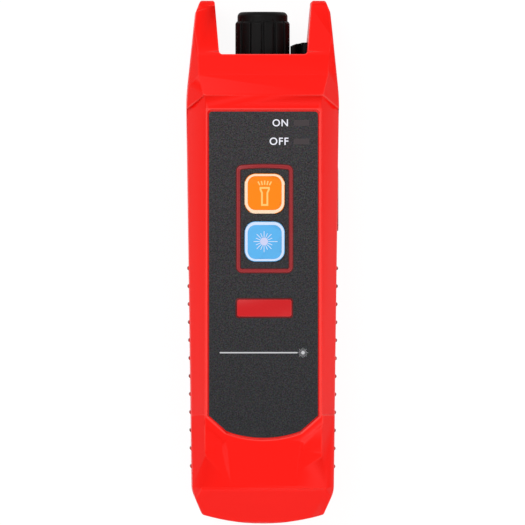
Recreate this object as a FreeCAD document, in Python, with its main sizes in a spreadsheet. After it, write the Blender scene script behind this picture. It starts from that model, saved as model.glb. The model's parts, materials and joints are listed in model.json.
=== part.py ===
import FreeCAD, Part
import math
import os
import Sketcher
from FreeCAD import Placement, Rotation, Vector

# Hand-held light source for finding faults in optical fibre, lying on its back.
# +X across the body, +Y along it towards the optical port, +Z out of the key face.
# Origin: centre of the outline, on the plane of the two runners that it lies on.

doc = FreeCAD.newDocument("VisualFaultLocator")
sheet = doc.addObject("Spreadsheet::Sheet", "Sizes")


# ---------------------------------------------------------------- sizes, in mm

class Size:
    """A number together with the spreadsheet formula it comes from."""

    def __init__(self, value, text):
        self.value = value
        self.text = text

    @staticmethod
    def of(item):
        return item if isinstance(item, Size) else Size(float(item), repr(item))

    def __add__(self, other):
        other = Size.of(other)
        return Size(self.value + other.value, f"({self.text} + {other.text})")

    def __radd__(self, other):
        return Size.of(other) + self

    def __sub__(self, other):
        other = Size.of(other)
        return Size(self.value - other.value, f"({self.text} - {other.text})")

    def __rsub__(self, other):
        return Size.of(other) - self

    def __mul__(self, other):
        other = Size.of(other)
        return Size(self.value * other.value, f"({self.text} * {other.text})")

    def __rmul__(self, other):
        return Size.of(other) * self

    def __truediv__(self, other):
        other = Size.of(other)
        return Size(self.value / other.value, f"({self.text} / {other.text})")

    def __neg__(self):
        return Size(-self.value, f"(-1 * {self.text})")


def size(alias, value):
    """A new named cell of the sheet."""
    row = f"A{size.rows}"
    sheet.set(row, str(value))
    sheet.setAlias(row, alias)
    size.rows += 1
    return Size(float(value), f"Sizes.{alias}")


size.rows = 1

# Shared: the gap of a close fit, how far pieces that become one overlap, and how far a
# cutter runs past what it cuts
fit_gap = size("fit_gap", 0.05)
sink = size("sink", 0.5)
overrun = size("overrun", 1.0)

# Housing, seen from the front
body_length = size("body_length", 175.0)
body_half_width = size("body_half_width", 25.5)
widest_y = size("widest_y", 55.2)
widest_round = size("widest_round", 60.0)
heel_half_width = size("heel_half_width", 23.65)
heel_rise = size("heel_rise", 11.0)
heel_round = size("heel_round", 8.0)
toe_half_width = size("toe_half_width", 20.3)
toe_round = size("toe_round", 1.2)
end_bulge = size("end_bulge", 3.1)
horn_length = size("horn_length", 18.0)
horn_tip_outer = size("horn_tip_outer", 20.9)
horn_tip_inner = size("horn_tip_inner", 16.2)
horn_neck_half = size("horn_neck_half", 22.5)
horn_neck_drop = size("horn_neck_drop", 4.0)
gap_half_width = size("gap_half_width", 14.7)
gap_round = size("gap_round", 1.2)
tip_round = size("tip_round", 0.9)
horn_neck_round = size("horn_neck_round", 2.8)

# Housing, seen from the side
thickness = size("thickness", 33.0)
face_drop = size("face_drop", 0.7)
runner_height = size("runner_height", 0.4)
split_z = size("split_z", 16.0)
brow_y = size("brow_y", 56.0)
brow_run = size("brow_run", 6.7)
brow_drop = size("brow_drop", 2.3)
lip_fall = size("lip_fall", 0.4)
horn_tip_front = size("horn_tip_front", 25.0)
horn_tip_back = size("horn_tip_back", 6.0)
heel_slope_start = size("heel_slope_start", 62.0)
heel_slope_drop = size("heel_slope_drop", 1.8)
end_front = size("end_front", 21.0)
end_back = size("end_back", 5.0)
back_slope_run = size("back_slope_run", 4.5)
shoulder_y = size("shoulder_y", 51.0)
shoulder_run = size("shoulder_run", 1.6)
shoulder_round = size("shoulder_round", 0.6)
crease_round = size("crease_round", 1.8)
lip_round = size("lip_round", 8.0)
horn_front_round = size("horn_front_round", 2.5)
horn_back_start = size("horn_back_start", 72.0)
slope_round = size("slope_round", 14.0)
end_round = size("end_round", 3.0)
heel_front_rise = size("heel_front_rise", 11.5)

# Housing, seen from the end
face_half_width = size("face_half_width", 19.5)
side_top = size("side_top", 24.7)
back_half_width = size("back_half_width", 20.6)
side_bottom = size("side_bottom", 6.0)
edge_round = size("edge_round", 0.8)
grip_top = size("grip_top", 22.0)
grip_slant = size("grip_slant", 5.6)

wall = size("wall", 2.2)
wall_draft = size("wall_draft", 0.3)
seam_width = size("seam_width", 0.3)
seam_depth = size("seam_depth", 0.4)

# Finger channel in the lower face
channel_half_width = size("channel_half_width", 12.4)
channel_turn_y = size("channel_turn_y", -59.8)
channel_wall_depth = size("channel_wall_depth", 2.0)
channel_end = size("channel_end", 74.5)
channel_slant = size("channel_slant", 60.0)
channel_rim = size("channel_rim", 1.2)
channel_floor_drop = size("channel_floor_drop", 1.65)
channel_dip_y = size("channel_dip_y", -60.0)
channel_dip = size("channel_dip", 0.2)
channel_fan = size("channel_fan", 48.65)
channel_cover = size("channel_cover", 1.2)
channel_clear = size("channel_clear", 3.0)

# Side ribs and the pad on the right
rib_count = size("rib_count", 12)
rib_pitch = size("rib_pitch", 6.03)
rib_first_y = size("rib_first_y", -2.0)
rib_radius = size("rib_radius", 0.75)
rib_stand = size("rib_stand", 0.5)
rib_low = size("rib_low", 8.0)
rib_high = size("rib_high", 21.5)
pad_low_y = size("pad_low_y", 10.5)
pad_length = size("pad_length", 21.1)
pad_height = size("pad_height", 7.0)
pad_face = size("pad_face", 25.35)

# Overlay and its recess
overlay_half_width = size("overlay_half_width", 18.2)
overlay_top = size("overlay_top", 50.3)
overlay_side_end = size("overlay_side_end", -51.2)
overlay_foot_half = size("overlay_foot_half", 12.3)
overlay_foot_y = size("overlay_foot_y", -56.4)
overlay_bulge = size("overlay_bulge", 2.2)
overlay_round = size("overlay_round", 1.0)
overlay_thick = size("overlay_thick", 0.5)
recess_depth = size("recess_depth", 0.8)
recess_gap = size("recess_gap", 0.5)

# Raised frame round the keys
frame_line = size("frame_line", 1.6)
frame_stand = size("frame_stand", 0.2)
frame_round = size("frame_round", 2.1)
frame_bow = size("frame_bow", 0.5)
frame_side_margin = size("frame_side_margin", 2.9)
frame_high_margin = size("frame_high_margin", 2.8)
frame_low_margin = size("frame_low_margin", 3.9)

# Keys
key_width = size("key_width", 13.4)
key_round = size("key_round", 3.6)
key_offset = size("key_offset", 0.4)
key_gap = size("key_gap", 0.2)
key_rise = size("key_rise", 0.6)
key_lip = size("key_lip", 0.8)
key_lip_thick = size("key_lip_thick", 1.0)
key_play = size("key_play", 0.3)
key_travel = size("key_travel", 0.6)
key_stem_radius = size("key_stem_radius", 1.6)
torch_key_y = size("torch_key_y", 22.9)
laser_key_y = size("laser_key_y", 6.9)

# Indicator windows
window_x = size("window_x", 12.7)
window_length = size("window_length", 5.1)
window_width = size("window_width", 1.9)
upper_window_y = size("upper_window_y", 46.5)
lower_window_y = size("lower_window_y", 40.3)
window_gap = size("window_gap", 0.05)
guide_flange = size("guide_flange", 0.6)
guide_flange_thick = size("guide_flange_thick", 1.0)

# Circuit board and what it carries
board_half_width = size("board_half_width", 16.5)
board_low_y = size("board_low_y", -17.5)
board_high_y = size("board_high_y", 50.0)
board_thick = size("board_thick", 1.6)
board_depth = size("board_depth", 9.3)
board_post_x = size("board_post_x", 13.6)
board_post_radius = size("board_post_radius", 2.2)
board_corner = size("board_corner", 1.5)
board_hole_gap = size("board_hole_gap", 0.15)
boss_notch_gap = size("boss_notch_gap", 0.4)
switch_width = size("switch_width", 6.0)
switch_height = size("switch_height", 2.6)
switch_well_spare = size("switch_well_spare", 0.8)
plunger_radius = size("plunger_radius", 1.5)
plunger_tuck = size("plunger_tuck", 0.7)
led_length = size("led_length", 3.2)
led_width = size("led_width", 1.6)
led_height = size("led_height", 1.2)
led_lens_inset = size("led_lens_inset", 0.5)

# Screws
boss_x = size("boss_x", 18.4)
boss_upper_y = size("boss_upper_y", 53.0)
boss_lower_y = size("boss_lower_y", -12.5)
boss_radius = size("boss_radius", 3.0)
boss_short = size("boss_short", 1.2)
screw_radius = size("screw_radius", 1.3)
screw_head_radius = size("screw_head_radius", 2.4)
screw_head_thick = size("screw_head_thick", 1.8)
screw_length = size("screw_length", 14.0)
screw_seat = size("screw_seat", 5.0)
screw_hole_gap = size("screw_hole_gap", 0.15)
screw_seat_gap = size("screw_seat_gap", 0.2)
cross_half_length = size("cross_half_length", 1.3)
cross_half_width = size("cross_half_width", 0.3)
cross_depth = size("cross_depth", 1.0)

# Nose: the well between the horns, the panel at its foot and the port
well_floor_y = size("well_floor_y", 62.0)
panel_thick = size("panel_thick", 2.0)
panel_tuck = size("panel_tuck", 1.4)
panel_gap = size("panel_gap", 0.1)
port_thread_radius = size("port_thread_radius", 4.0)
port_barrel_radius = size("port_barrel_radius", 4.9)
port_flange_radius = size("port_flange_radius", 7.0)
port_flange_thick = size("port_flange_thick", 1.5)
port_seal_thick = size("port_seal_thick", 0.8)
port_length = size("port_length", 13.6)
port_chamfer = size("port_chamfer", 0.6)
port_lead_in = size("port_lead_in", 1.0)
flange_chamfer = size("flange_chamfer", 0.3)
seal_inset = size("seal_inset", 0.5)
panel_corner = size("panel_corner", 1.0)
ferrule_radius = size("ferrule_radius", 1.25)
sleeve_radius = size("sleeve_radius", 1.8)
sleeve_length = size("sleeve_length", 11.4)
sleeve_slit = size("sleeve_slit", 0.3)
barrel_radius = size("barrel_radius", 5.0)
barrel_length = size("barrel_length", 26.0)
diode_radius = size("diode_radius", 2.8)
lens_radius = size("lens_radius", 3.0)

# Dust cap and its tether
cap_top_y = size("cap_top_y", 83.8)
cap_radius = size("cap_radius", 8.4)
cap_rib_stand = size("cap_rib_stand", 0.7)
cap_rib_count = size("cap_rib_count", 14)
cap_rib_width = size("cap_rib_width", 3.0)
cap_rib_drop = size("cap_rib_drop", 3.2)
cap_round = size("cap_round", 1.6)
cap_base_gap = size("cap_base_gap", 0.2)
cap_foot = size("cap_foot", 1.0)
cap_groove = size("cap_groove", 2.6)
cap_neck_radius = size("cap_neck_radius", 7.6)
tether_ring_radius = size("tether_ring_radius", 9.8)
tether_thick = size("tether_thick", 1.3)
tether_near_top = size("tether_near_top", 71.9)
tether_far_top = size("tether_far_top", 73.6)
tether_ring_play = size("tether_ring_play", 0.5)
tether_wall_play = size("tether_wall_play", 0.4)
tether_cap_gap = size("tether_cap_gap", 0.25)
tether_foot_gap = size("tether_foot_gap", 0.3)
tether_foot_thick = size("tether_foot_thick", 1.4)
cap_ceiling = size("cap_ceiling", 2.4)
cap_ceiling_slope = size("cap_ceiling_slope", 1.2)

# Torch
torch_x = size("torch_x", -10.5)
torch_drop = size("torch_drop", 9.3)
torch_radius = size("torch_radius", 2.5)
bezel_radius = size("bezel_radius", 3.4)
bezel_depth = size("bezel_depth", 2.4)
bezel_flare = size("bezel_flare", 0.8)
bezel_seat = size("bezel_seat", 1.0)
bezel_round = size("bezel_round", 0.5)
torch_stand = size("torch_stand", 4.2)
torch_flange = size("torch_flange", 0.4)
torch_flange_thick = size("torch_flange_thick", 1.0)
torch_seat_gap = size("torch_seat_gap", 0.2)
torch_lead_length = size("torch_lead_length", 8.0)
torch_lead_offset = size("torch_lead_offset", 1.27)

# Inside the shells
bulkhead_y = size("bulkhead_y", 57.5)
well_step = size("well_step", 0.9)
board_post_high_y = size("board_post_high_y", 33.0)
board_post_low_y = size("board_post_low_y", -14.0)
board_screw_radius = size("board_screw_radius", 0.9)
board_screw_length = size("board_screw_length", 5.0)
board_screw_spare = size("board_screw_spare", 0.6)
board_head_radius = size("board_head_radius", 1.71)
board_head_thick = size("board_head_thick", 1.1)
cradle_front_y = size("cradle_front_y", 50.0)
cradle_back_y = size("cradle_back_y", 36.0)
cradle_wall = size("cradle_wall", 2.0)
cradle_half_thick = size("cradle_half_thick", 0.8)
cradle_drop = size("cradle_drop", 1.0)
runner_place = size("runner_place", 19.6)
runner_width = size("runner_width", 1.4)
runner_low_y = size("runner_low_y", -74.0)
runner_high_y = size("runner_high_y", 62.0)
tether_foot_half = size("tether_foot_half", 2.6)
tether_pocket_depth = size("tether_pocket_depth", 4.6)

key_wall = size("key_wall", 1.2)
guide_gap = size("guide_gap", 0.3)
mould_corner = size("mould_corner", 0.4)
leg_pitch = size("leg_pitch", 1.27)
leg_half_width = size("leg_half_width", 0.2)
leg_height = size("leg_height", 0.3)
leg_reach = size("leg_reach", 0.8)
lead_radius = size("lead_radius", 0.25)
chip_width = size("chip_width", 7.0)
chip_thick = size("chip_thick", 1.0)
chip_leg_half = size("chip_leg_half", 0.15)
chip_leg_inset = size("chip_leg_inset", 1.4)
chip_lift = size("chip_lift", 0.1)
driver_half_width = size("driver_half_width", 2.0)
driver_half_length = size("driver_half_length", 2.5)
driver_thick = size("driver_thick", 1.5)
driver_inset = size("driver_inset", 5.5)
capacitor_inset = size("capacitor_inset", 1.2)
capacitor_foot_thick = size("capacitor_foot_thick", 0.8)
capacitor_foot_lap = size("capacitor_foot_lap", 0.2)
chip_x = size("chip_x", -9.5)
chip_y = size("chip_y", -3.0)
driver_y = size("driver_y", 12.0)
capacitor_radius = size("capacitor_radius", 3.15)
capacitor_height = size("capacitor_height", 7.0)
thread_reach = size("thread_reach", 5.0)
beam_radius = size("beam_radius", 1.3)
lens_y = size("lens_y", 46.0)
diode_depth = size("diode_depth", 3.5)
diode_can_inset = size("diode_can_inset", 0.7)
diode_can_length = size("diode_can_length", 2.2)
diode_base_thick = size("diode_base_thick", 1.2)
diode_lead_length = size("diode_lead_length", 5.0)
diode_lead_circle = size("diode_lead_circle", 0.9)
diode_lead_rise = size("diode_lead_rise", 0.6)
beam_gap = size("beam_gap", 0.6)
lens_half_edge = size("lens_half_edge", 0.6)
lens_shoulder = size("lens_shoulder", 1.4)
lens_rise = size("lens_rise", 1.8)
barrel_chamfer = size("barrel_chamfer", 0.4)
barrel_groove_y = size("barrel_groove_y", 4.0)
barrel_groove_width = size("barrel_groove_width", 1.2)
barrel_groove_depth = size("barrel_groove_depth", 0.5)
tether_fold = size("tether_fold", 8.0)

# Battery compartment
spring_room = size("spring_room", 5.6)
spring_radius = size("spring_radius", 3.0)
tongue_length = size("tongue_length", 9.0)
tongue_pitch = size("tongue_pitch", 24.0)
tongue_count = size("tongue_count", 3)
end_clear = size("end_clear", 8.0)
grip_half = size("grip_half", 7.0)
grip_pitch = size("grip_pitch", 1.8)
grip_count = size("grip_count", 5)
grip_place = size("grip_place", 6.0)
grip_depth = size("grip_depth", 0.5)
cell_radius = size("cell_radius", 7.1)
cell_length = size("cell_length", 49.0)
cell_nub_radius = size("cell_nub_radius", 2.7)
cell_nub_length = size("cell_nub_length", 1.2)
cell_side_gap = size("cell_side_gap", 0.8)
cell_gap = size("cell_gap", 0.3)
bay_side_gap = size("bay_side_gap", 0.6)
bay_high_y = size("bay_high_y", -21.5)
bay_wall = size("bay_wall", 1.3)
door_lap = size("door_lap", 1.6)
door_lap_high = size("door_lap_high", 2.0)
door_thick = size("door_thick", 2.0)
door_gap = size("door_gap", 0.15)
tongue_reach = size("tongue_reach", 1.2)
tongue_thick = size("tongue_thick", 0.9)
rail_height = size("rail_height", 4.0)
contact_thick = size("contact_thick", 0.4)
contact_gap = size("contact_gap", 0.1)
spring_wire = size("spring_wire", 0.45)
spring_turns = size("spring_turns", 3)
spring_end_gap = size("spring_end_gap", 0.05)
contact_inset = size("contact_inset", 1.5)

doc.recompute()

# Heights and places that follow from the sizes above
end_y = body_length / 2
gap_floor_y = end_y - horn_length
face_z = thickness - face_drop
back_z = runner_height
recess_z = face_z - recess_depth
overlay_z = recess_z + overlay_thick
ceiling_z = recess_z - wall
port_z = split_z
board_top = face_z - board_depth
board_bottom = board_top - board_thick
barrel_front_y = well_floor_y - panel_thick
barrel_back_y = barrel_front_y - barrel_length
tongue_low = back_z + (door_thick - tongue_thick) / 2
plunger_top = board_top + switch_height + key_travel
torch_z = port_z - torch_drop
cap_base_y = well_floor_y + port_seal_thick + port_flange_thick + cap_base_gap
port_tip_y = well_floor_y + port_seal_thick + port_length
sleeve_back_y = port_tip_y - 1 - sleeve_length
cell_z = back_z + door_thick + door_gap + cell_gap + cell_radius
cell_spacing = cell_radius * 2 + cell_side_gap
bay_half_width = cell_spacing / 2 + cell_radius + bay_side_gap
bay_low_y = bay_high_y - contact_thick - contact_gap - cell_nub_length - cell_length - spring_room
door_half_width = bay_half_width + door_lap
door_high_y = bay_high_y + door_lap_high
lip_ceiling = face_z - brow_drop - lip_fall - wall
frame_half = key_width / 2 + frame_side_margin
frame_low_y = laser_key_y - key_width / 2 - frame_low_margin
frame_high_y = torch_key_y + key_width / 2 + frame_high_margin


# ------------------------------------------------------------- drawing helpers

PLANES = {
    "top": Rotation(),
    "side": Rotation(Vector(0, 1, 0), Vector(0, 0, 1), Vector(1, 0, 0), "ZXY"),
    "front": Rotation(Vector(1, 0, 0), Vector(0, 0, 1), Vector(0, -1, 0), "ZXY"),
}


def bind(thing, **formulas):
    """Ties properties of an object to the sheet."""
    for name, formula in formulas.items():
        thing.setExpression(name, Size.of(formula).text)


def place(thing, x=0, y=0, z=0):
    """Puts an object at a place worked out from the sheet."""
    for axis, formula in zip("xyz", (x, y, z)):
        thing.setExpression(f"Placement.Base.{axis}", Size.of(formula).text)
    return thing


def fix_point(sketch, geo, end, corner):
    """Holds one end of a side at its corner's two distances from the origin."""
    for kind, formula in zip(("DistanceX", "DistanceY"), corner):
        formula = Size.of(formula)
        at = sketch.addConstraint(Sketcher.Constraint(kind, -1, 1, geo, end, formula.value))
        sketch.setExpression(f"Constraints[{at}]", formula.text)


def arc_side(start, end, bulge):
    """An arc from start to end that swells to the right of the way it goes."""
    chord = end - start
    across = Vector(chord.y, -chord.x, 0).normalize()
    return Part.Arc(start, (start + end) * 0.5 + across * bulge, end)


def draw(sketch, corners):
    """A closed outline, anticlockwise. A corner is (x, y) or (x, y, {"round": r}) or
    (x, y, {"bulge": b}), where the side that leaves it swells outwards by b."""
    points = [Vector(Size.of(c[0]).value, Size.of(c[1]).value, 0) for c in corners]
    count = len(corners)
    extras = [c[2] if len(c) > 2 else {} for c in corners]
    for i, start in enumerate(points):
        end = points[(i + 1) % count]
        bulge = extras[i].get("bulge")
        side = arc_side(start, end, bulge.value) if bulge else Part.LineSegment(start, end)
        sketch.addGeometry(side, False)
    for i in range(count):
        sketch.addConstraint(Sketcher.Constraint("Coincident", i, 2, (i + 1) % count, 1))
        fix_point(sketch, i, 1, corners[i][:2])
    for i, extra in enumerate(extras):
        if "bulge" in extra:
            half = (Size.of(corners[(i + 1) % count][0]) - corners[i][0]) / 2
            radius = (half * half + extra["bulge"] * extra["bulge"]) / (2 * extra["bulge"])
            at = sketch.addConstraint(Sketcher.Constraint("Radius", i, abs(radius.value)))
            sketch.setExpression(f"Constraints[{at}]", radius.text)
    for i, extra in enumerate(extras):
        if "round" in extra:
            round_corner(sketch, i, count, points, Size.of(extra["round"]))
    return sketch


def round_corner(sketch, i, count, points, radius):
    """Rounds the corner where side i starts."""
    before = (i - 1) % count
    at = points[i]
    step = radius.value * 0.5
    near_before = at + (points[before] - at).normalize() * step
    near_after = at + (points[(i + 1) % count] - at).normalize() * step
    sketch.fillet(before, i, near_before, near_after, radius.value, True, True)
    arc = sketch.GeometryCount - 1
    while sketch.Geometry[arc].TypeId != "Part::GeomArcOfCircle":
        arc -= 1
    number = sketch.addConstraint(Sketcher.Constraint("Radius", arc, radius.value))
    sketch.setExpression(f"Constraints[{number}]", radius.text)


def outline(name, plane, corners, at=(0, 0, 0)):
    """A free sketch in one of the three views."""
    sketch = doc.addObject("Sketcher::SketchObject", name)
    sketch.Placement = Placement(Vector(), PLANES[plane])
    place(sketch, *at)
    return draw(sketch, corners)


def prism(name, plane, corners, start, end, taper=None):
    """An outline drawn out square to its view, from start to end."""
    start, end = Size.of(start), Size.of(end)
    at = {"top": (0, 0, start), "side": (start, 0, 0), "front": (0, end, 0)}[plane]
    solid = doc.addObject("Part::Extrusion", name)
    solid.Base = outline(name + "_outline", plane, corners, at)
    solid.DirMode = "Normal"
    solid.Solid = True
    bind(solid, LengthFwd=end - start)
    if taper is not None:
        bind(solid, TaperAngle=taper)
    return solid


def turned(name, corners, at):
    """A profile (distance along +Y, radius) turned about an axis along Y."""
    solid = doc.addObject("Part::Revolution", name)
    solid.Source = outline(name + "_profile", "side", corners, at)
    solid.Axis = Vector(0, 1, 0)
    solid.Angle = 360
    solid.Solid = True
    for axis, formula in zip("xyz", at):
        solid.setExpression(f"Base.{axis}", Size.of(formula).text)
    return solid


def box(name, low, high):
    """A block between two opposite corners."""
    block = doc.addObject("Part::Box", name)
    spans = [Size.of(b) - a for a, b in zip(low, high)]
    bind(block, Length=spans[0], Width=spans[1], Height=spans[2])
    return place(block, *low)


def rod(name, radius, length, at, along="z"):
    """A cylinder that starts at a point and runs along +Z or +Y."""
    solid = doc.addObject("Part::Cylinder", name)
    if along == "y":
        solid.Placement = Placement(Vector(), Rotation(Vector(1, 0, 0), -90))
    bind(solid, Radius=radius, Height=length)
    return place(solid, *at)


def rounded_block(name, half_x, half_y, corner, low_z, high_z, centre=(0, 0)):
    """An upright block with rounded corners about a centre."""
    x, y = Size.of(centre[0]), Size.of(centre[1])
    bend = {"round": corner}
    corners = [
        (x + half_x, y - half_y, bend),
        (x + half_x, y + half_y, bend),
        (x - half_x, y + half_y, bend),
        (x - half_x, y - half_y, bend),
    ]
    return prism(name, "top", corners, low_z, high_z)


def fuse(name, parts):
    solid = doc.addObject("Part::MultiFuse", name)
    solid.Shapes = parts
    solid.Refine = True
    return solid


def common(name, parts):
    solid = doc.addObject("Part::MultiCommon", name)
    solid.Shapes = parts
    solid.Refine = True
    return solid


def cut(name, base, tools):
    """The base less every tool."""
    solid = doc.addObject("Part::Cut", name)
    solid.Base = base
    solid.Tool = tools[0] if len(tools) == 1 else fuse(name + "_tools", tools)
    solid.Refine = True
    return solid


def mirrored(name, source):
    """The same thing on the other side of the body's middle plane."""
    solid = doc.addObject("Part::Mirroring", name)
    solid.Source = source
    solid.Normal = Vector(1, 0, 0)
    return solid


def both_sides(name, source):
    return [source, mirrored(name, source)]


def mirror_corners(right, bulge=None):
    """Completes an outline from its right half, given anticlockwise from the bottom.
    The side that closes it may swell outwards."""
    left = [(-Size.of(x), y, *rest) for x, y, *rest in reversed(right)]
    if bulge is not None:
        x, y, *rest = left[-1]
        left[-1] = (x, y, {**(rest[0] if rest else {}), "bulge": bulge})
    return right + left


# ------------------------------------------------------------------- the form
# The outside of both shells is one form: the plan, the side view and the end view
# drawn out square to each other, and what all three share.

def plan_corners(inset=0):
    """The outline from the front, with its sides moved in by an inset."""
    right = [
        (toe_half_width - inset, end_bulge - end_y + inset, {"round": toe_round}),
        (heel_half_width - inset, heel_rise - end_y, {"round": heel_round}),
        (body_half_width - inset, widest_y, {"round": widest_round}),
        (horn_neck_half - inset, end_y - horn_neck_drop, {"round": horn_neck_round}),
        (horn_tip_outer - inset, end_y - inset, {"round": tip_round}),
        (horn_tip_inner + inset, end_y - inset, {"round": tip_round}),
        (gap_half_width + inset, gap_floor_y - inset, {"round": gap_round}),
    ]
    return mirror_corners(right, end_bulge)


def side_corners():
    """The outline from the right: y across, z up."""
    return [
        (end_y, horn_tip_front, {"round": horn_front_round}),
        (gap_floor_y, face_z - brow_drop - lip_fall, {"round": lip_round}),
        (brow_y + brow_run, face_z - brow_drop, {"round": crease_round}),
        (brow_y, face_z, {"round": crease_round}),
        (-shoulder_y, face_z, {"round": shoulder_round}),
        (-shoulder_y - shoulder_run, thickness, {"round": shoulder_round}),
        (-heel_slope_start, thickness, {"round": slope_round}),
        (heel_front_rise - end_y, thickness - heel_slope_drop, {"round": end_round}),
        (-end_y, end_front, {"round": end_round}),
        (-end_y, end_back, {"round": crease_round}),
        (back_slope_run - end_y, back_z, {"round": end_round}),
        (horn_back_start, back_z, {"round": slope_round}),
        (end_y, horn_tip_back, {"round": crease_round}),
    ]


def end_corners():
    """The outline from the end: x across, z up."""
    beyond = body_half_width + overrun
    facet = (thickness - side_top) / (body_half_width - face_half_width)
    right = [
        (back_half_width, back_z, {"round": end_round}),
        (beyond, side_bottom),
        (beyond, side_top - facet),
        (face_half_width, thickness, {"round": edge_round}),
    ]
    return mirror_corners(right)


def grip_cutter():
    """What the steeper grip facet takes off the right side. Its upper end runs aslant."""
    beyond = body_half_width + overrun
    steep = (face_z - grip_top) / (body_half_width - face_half_width)
    section = [
        (face_half_width, face_z + overrun),
        (face_half_width, face_z),
        (beyond, grip_top - steep),
        (beyond, face_z + overrun),
    ]
    plan = [
        (face_half_width - overrun, -shoulder_y),
        (beyond, -shoulder_y),
        (beyond, brow_y - grip_slant),
        (face_half_width, brow_y),
        (face_half_width - overrun, brow_y),
    ]
    facet = prism("grip_section", "front", section, -shoulder_y - overrun, brow_y + overrun)
    reach = prism("grip_plan", "top", plan, split_z, thickness + overrun)
    return common("grip_cutter", [facet, reach])


def channel_cutter():
    """The shallow finger channel below the overlay, with slanted walls."""
    floor = [
        (-shoulder_y + overrun, face_z + channel_clear),
        (-channel_end, face_z + channel_clear),
        (-channel_end, thickness - channel_floor_drop),
        (channel_dip_y, face_z - channel_dip, {"round": slope_round}),
        (-shoulder_y + overrun, face_z),
    ]
    lean = channel_wall_depth * math.tan(math.radians(channel_slant.value))
    low_half = channel_half_width - lean
    low_far = overlay_half_width + channel_rim - lean
    turn_y = channel_turn_y + lean * math.tan(math.radians(channel_fan.value) / 2)
    right = [
        (low_half, -channel_end - overrun),
        (low_half, turn_y),
        (low_far, turn_y + (low_far - low_half) / math.tan(math.radians(channel_fan.value))),
        (low_far, -shoulder_y + overrun * 2),
    ]
    depth = prism("channel_depth", "side", floor, -body_half_width, body_half_width)
    low_z = face_z - channel_wall_depth
    high_z = face_z + channel_cover
    reach = prism("channel_plan", "top", mirror_corners(right), low_z, high_z, channel_slant)
    return common("channel_cutter", [depth, reach])


def overlay_corners(grow=0):
    """The overlay's outline, or its recess when grown."""
    bend = {"round": overlay_round}
    right = [
        (overlay_foot_half + grow * 0.5, overlay_foot_y - grow),
        (overlay_half_width + grow, overlay_side_end - grow * 0.4),
        (overlay_half_width + grow, overlay_top + grow, bend),
    ]
    return mirror_corners(right, overlay_bulge)


blank = common(
    "form_blank",
    [
        prism("form_plan", "top", plan_corners(), back_z, thickness),
        prism("form_side", "side", side_corners(), -body_half_width - overrun, body_half_width + overrun),
        prism("form_end", "front", end_corners(), -end_y - overrun, end_y + overrun),
    ],
)
form = cut("form", blank, [*both_sides("grip_cutter_left", grip_cutter()), channel_cutter()])


# ------------------------------------------------------------------ the shells

def cavity_corners(inset):
    """The hollow's outline from the front: the body's, moved in, and flat at the nose."""
    right = [
        (toe_half_width - inset, end_bulge - end_y + inset + overrun),
        (heel_half_width - inset, heel_rise - end_y + overrun),
        (body_half_width - inset - wall_draft, bulkhead_y),
    ]
    return mirror_corners(right)


def cavity():
    """The space inside, a wall's thickness in from every outer face."""
    slope_y = wall - heel_slope_start
    side_view = [
        (bulkhead_y, back_z + wall),
        (bulkhead_y, ceiling_z),
        (slope_y, ceiling_z),
        (heel_front_rise - end_y + wall, thickness - heel_slope_drop - wall * 1.3),
        (wall * 1.1 - end_y, end_front - wall * 0.5),
        (wall * 1.1 - end_y, back_z + wall),
    ]
    end_view = mirror_corners([
        (back_half_width - wall, back_z + wall),
        (body_half_width - wall, side_bottom + wall * 0.6),
        (body_half_width - wall, grip_top - wall * 0.6),
        (face_half_width - wall, ceiling_z),
    ])
    return common(
        "cavity",
        [
            prism("cavity_plan", "top", cavity_corners(wall), back_z, thickness),
            prism("cavity_side", "side", side_view, -body_half_width, body_half_width),
            prism("cavity_end", "front", end_view, -end_y, end_y),
        ],
    )


def seam_cutter():
    """The fine groove that runs round the outside where the shells meet."""
    low, high = split_z - seam_width / 2, split_z + seam_width / 2
    around = box(
        "seam_band",
        (-body_half_width - overrun, -end_y - overrun, low),
        (body_half_width + overrun, end_y + overrun, high),
    )
    core = prism("seam_core", "top", plan_corners(seam_depth), low, high)
    return cut("seam_cutter", around, [core])


def side_ribs():
    """Upright grip ribs in a row that follows the slant of the right side wall."""
    slant = (body_half_width - heel_half_width) / (widest_y + end_y - heel_rise)
    ribs = []
    for i in range(int(rib_count.value)):
        y = rib_first_y - rib_pitch * i
        wall_x = body_half_width - slant * (widest_y - y)
        at = (wall_x + rib_stand - rib_radius, y, rib_low)
        ribs.append(rod(f"rib_{i + 1}", rib_radius, rib_high - rib_low, at))
    return fuse("side_ribs", ribs)


def side_pad():
    """The long raised pad on the right wall."""
    half = pad_height / 2
    bend = {"round": half * 0.9}
    corners = [
        (pad_low_y, split_z - half, bend),
        (pad_low_y + pad_length, split_z - half, bend),
        (pad_low_y + pad_length, split_z + half, bend),
        (pad_low_y, split_z + half, bend),
    ]
    return prism("side_pad", "side", corners, body_half_width - wall, pad_face)


def key_corners(y, grow=0):
    """The rounded square of a key, or of its window when grown."""
    half = key_width / 2 + grow
    bend = {"round": key_round + grow}
    return [
        (key_offset + half, y - half, bend),
        (key_offset + half, y + half, bend),
        (key_offset - half, y + half, bend),
        (key_offset - half, y - half, bend),
    ]


def window_box(name, y, grow, low_z, high_z):
    """A block the size of an indicator window, grown by a gap."""
    half_x, half_y = window_length / 2 + grow, window_width / 2 + grow
    return box(name, (window_x - half_x, y - half_y, low_z), (window_x + half_x, y + half_y, high_z))


def boss_places():
    return [
        ("upper_right", boss_x, boss_upper_y),
        ("upper_left", -boss_x, boss_upper_y),
        ("lower_right", boss_x, boss_lower_y),
        ("lower_left", -boss_x, boss_lower_y),
    ]


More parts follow.
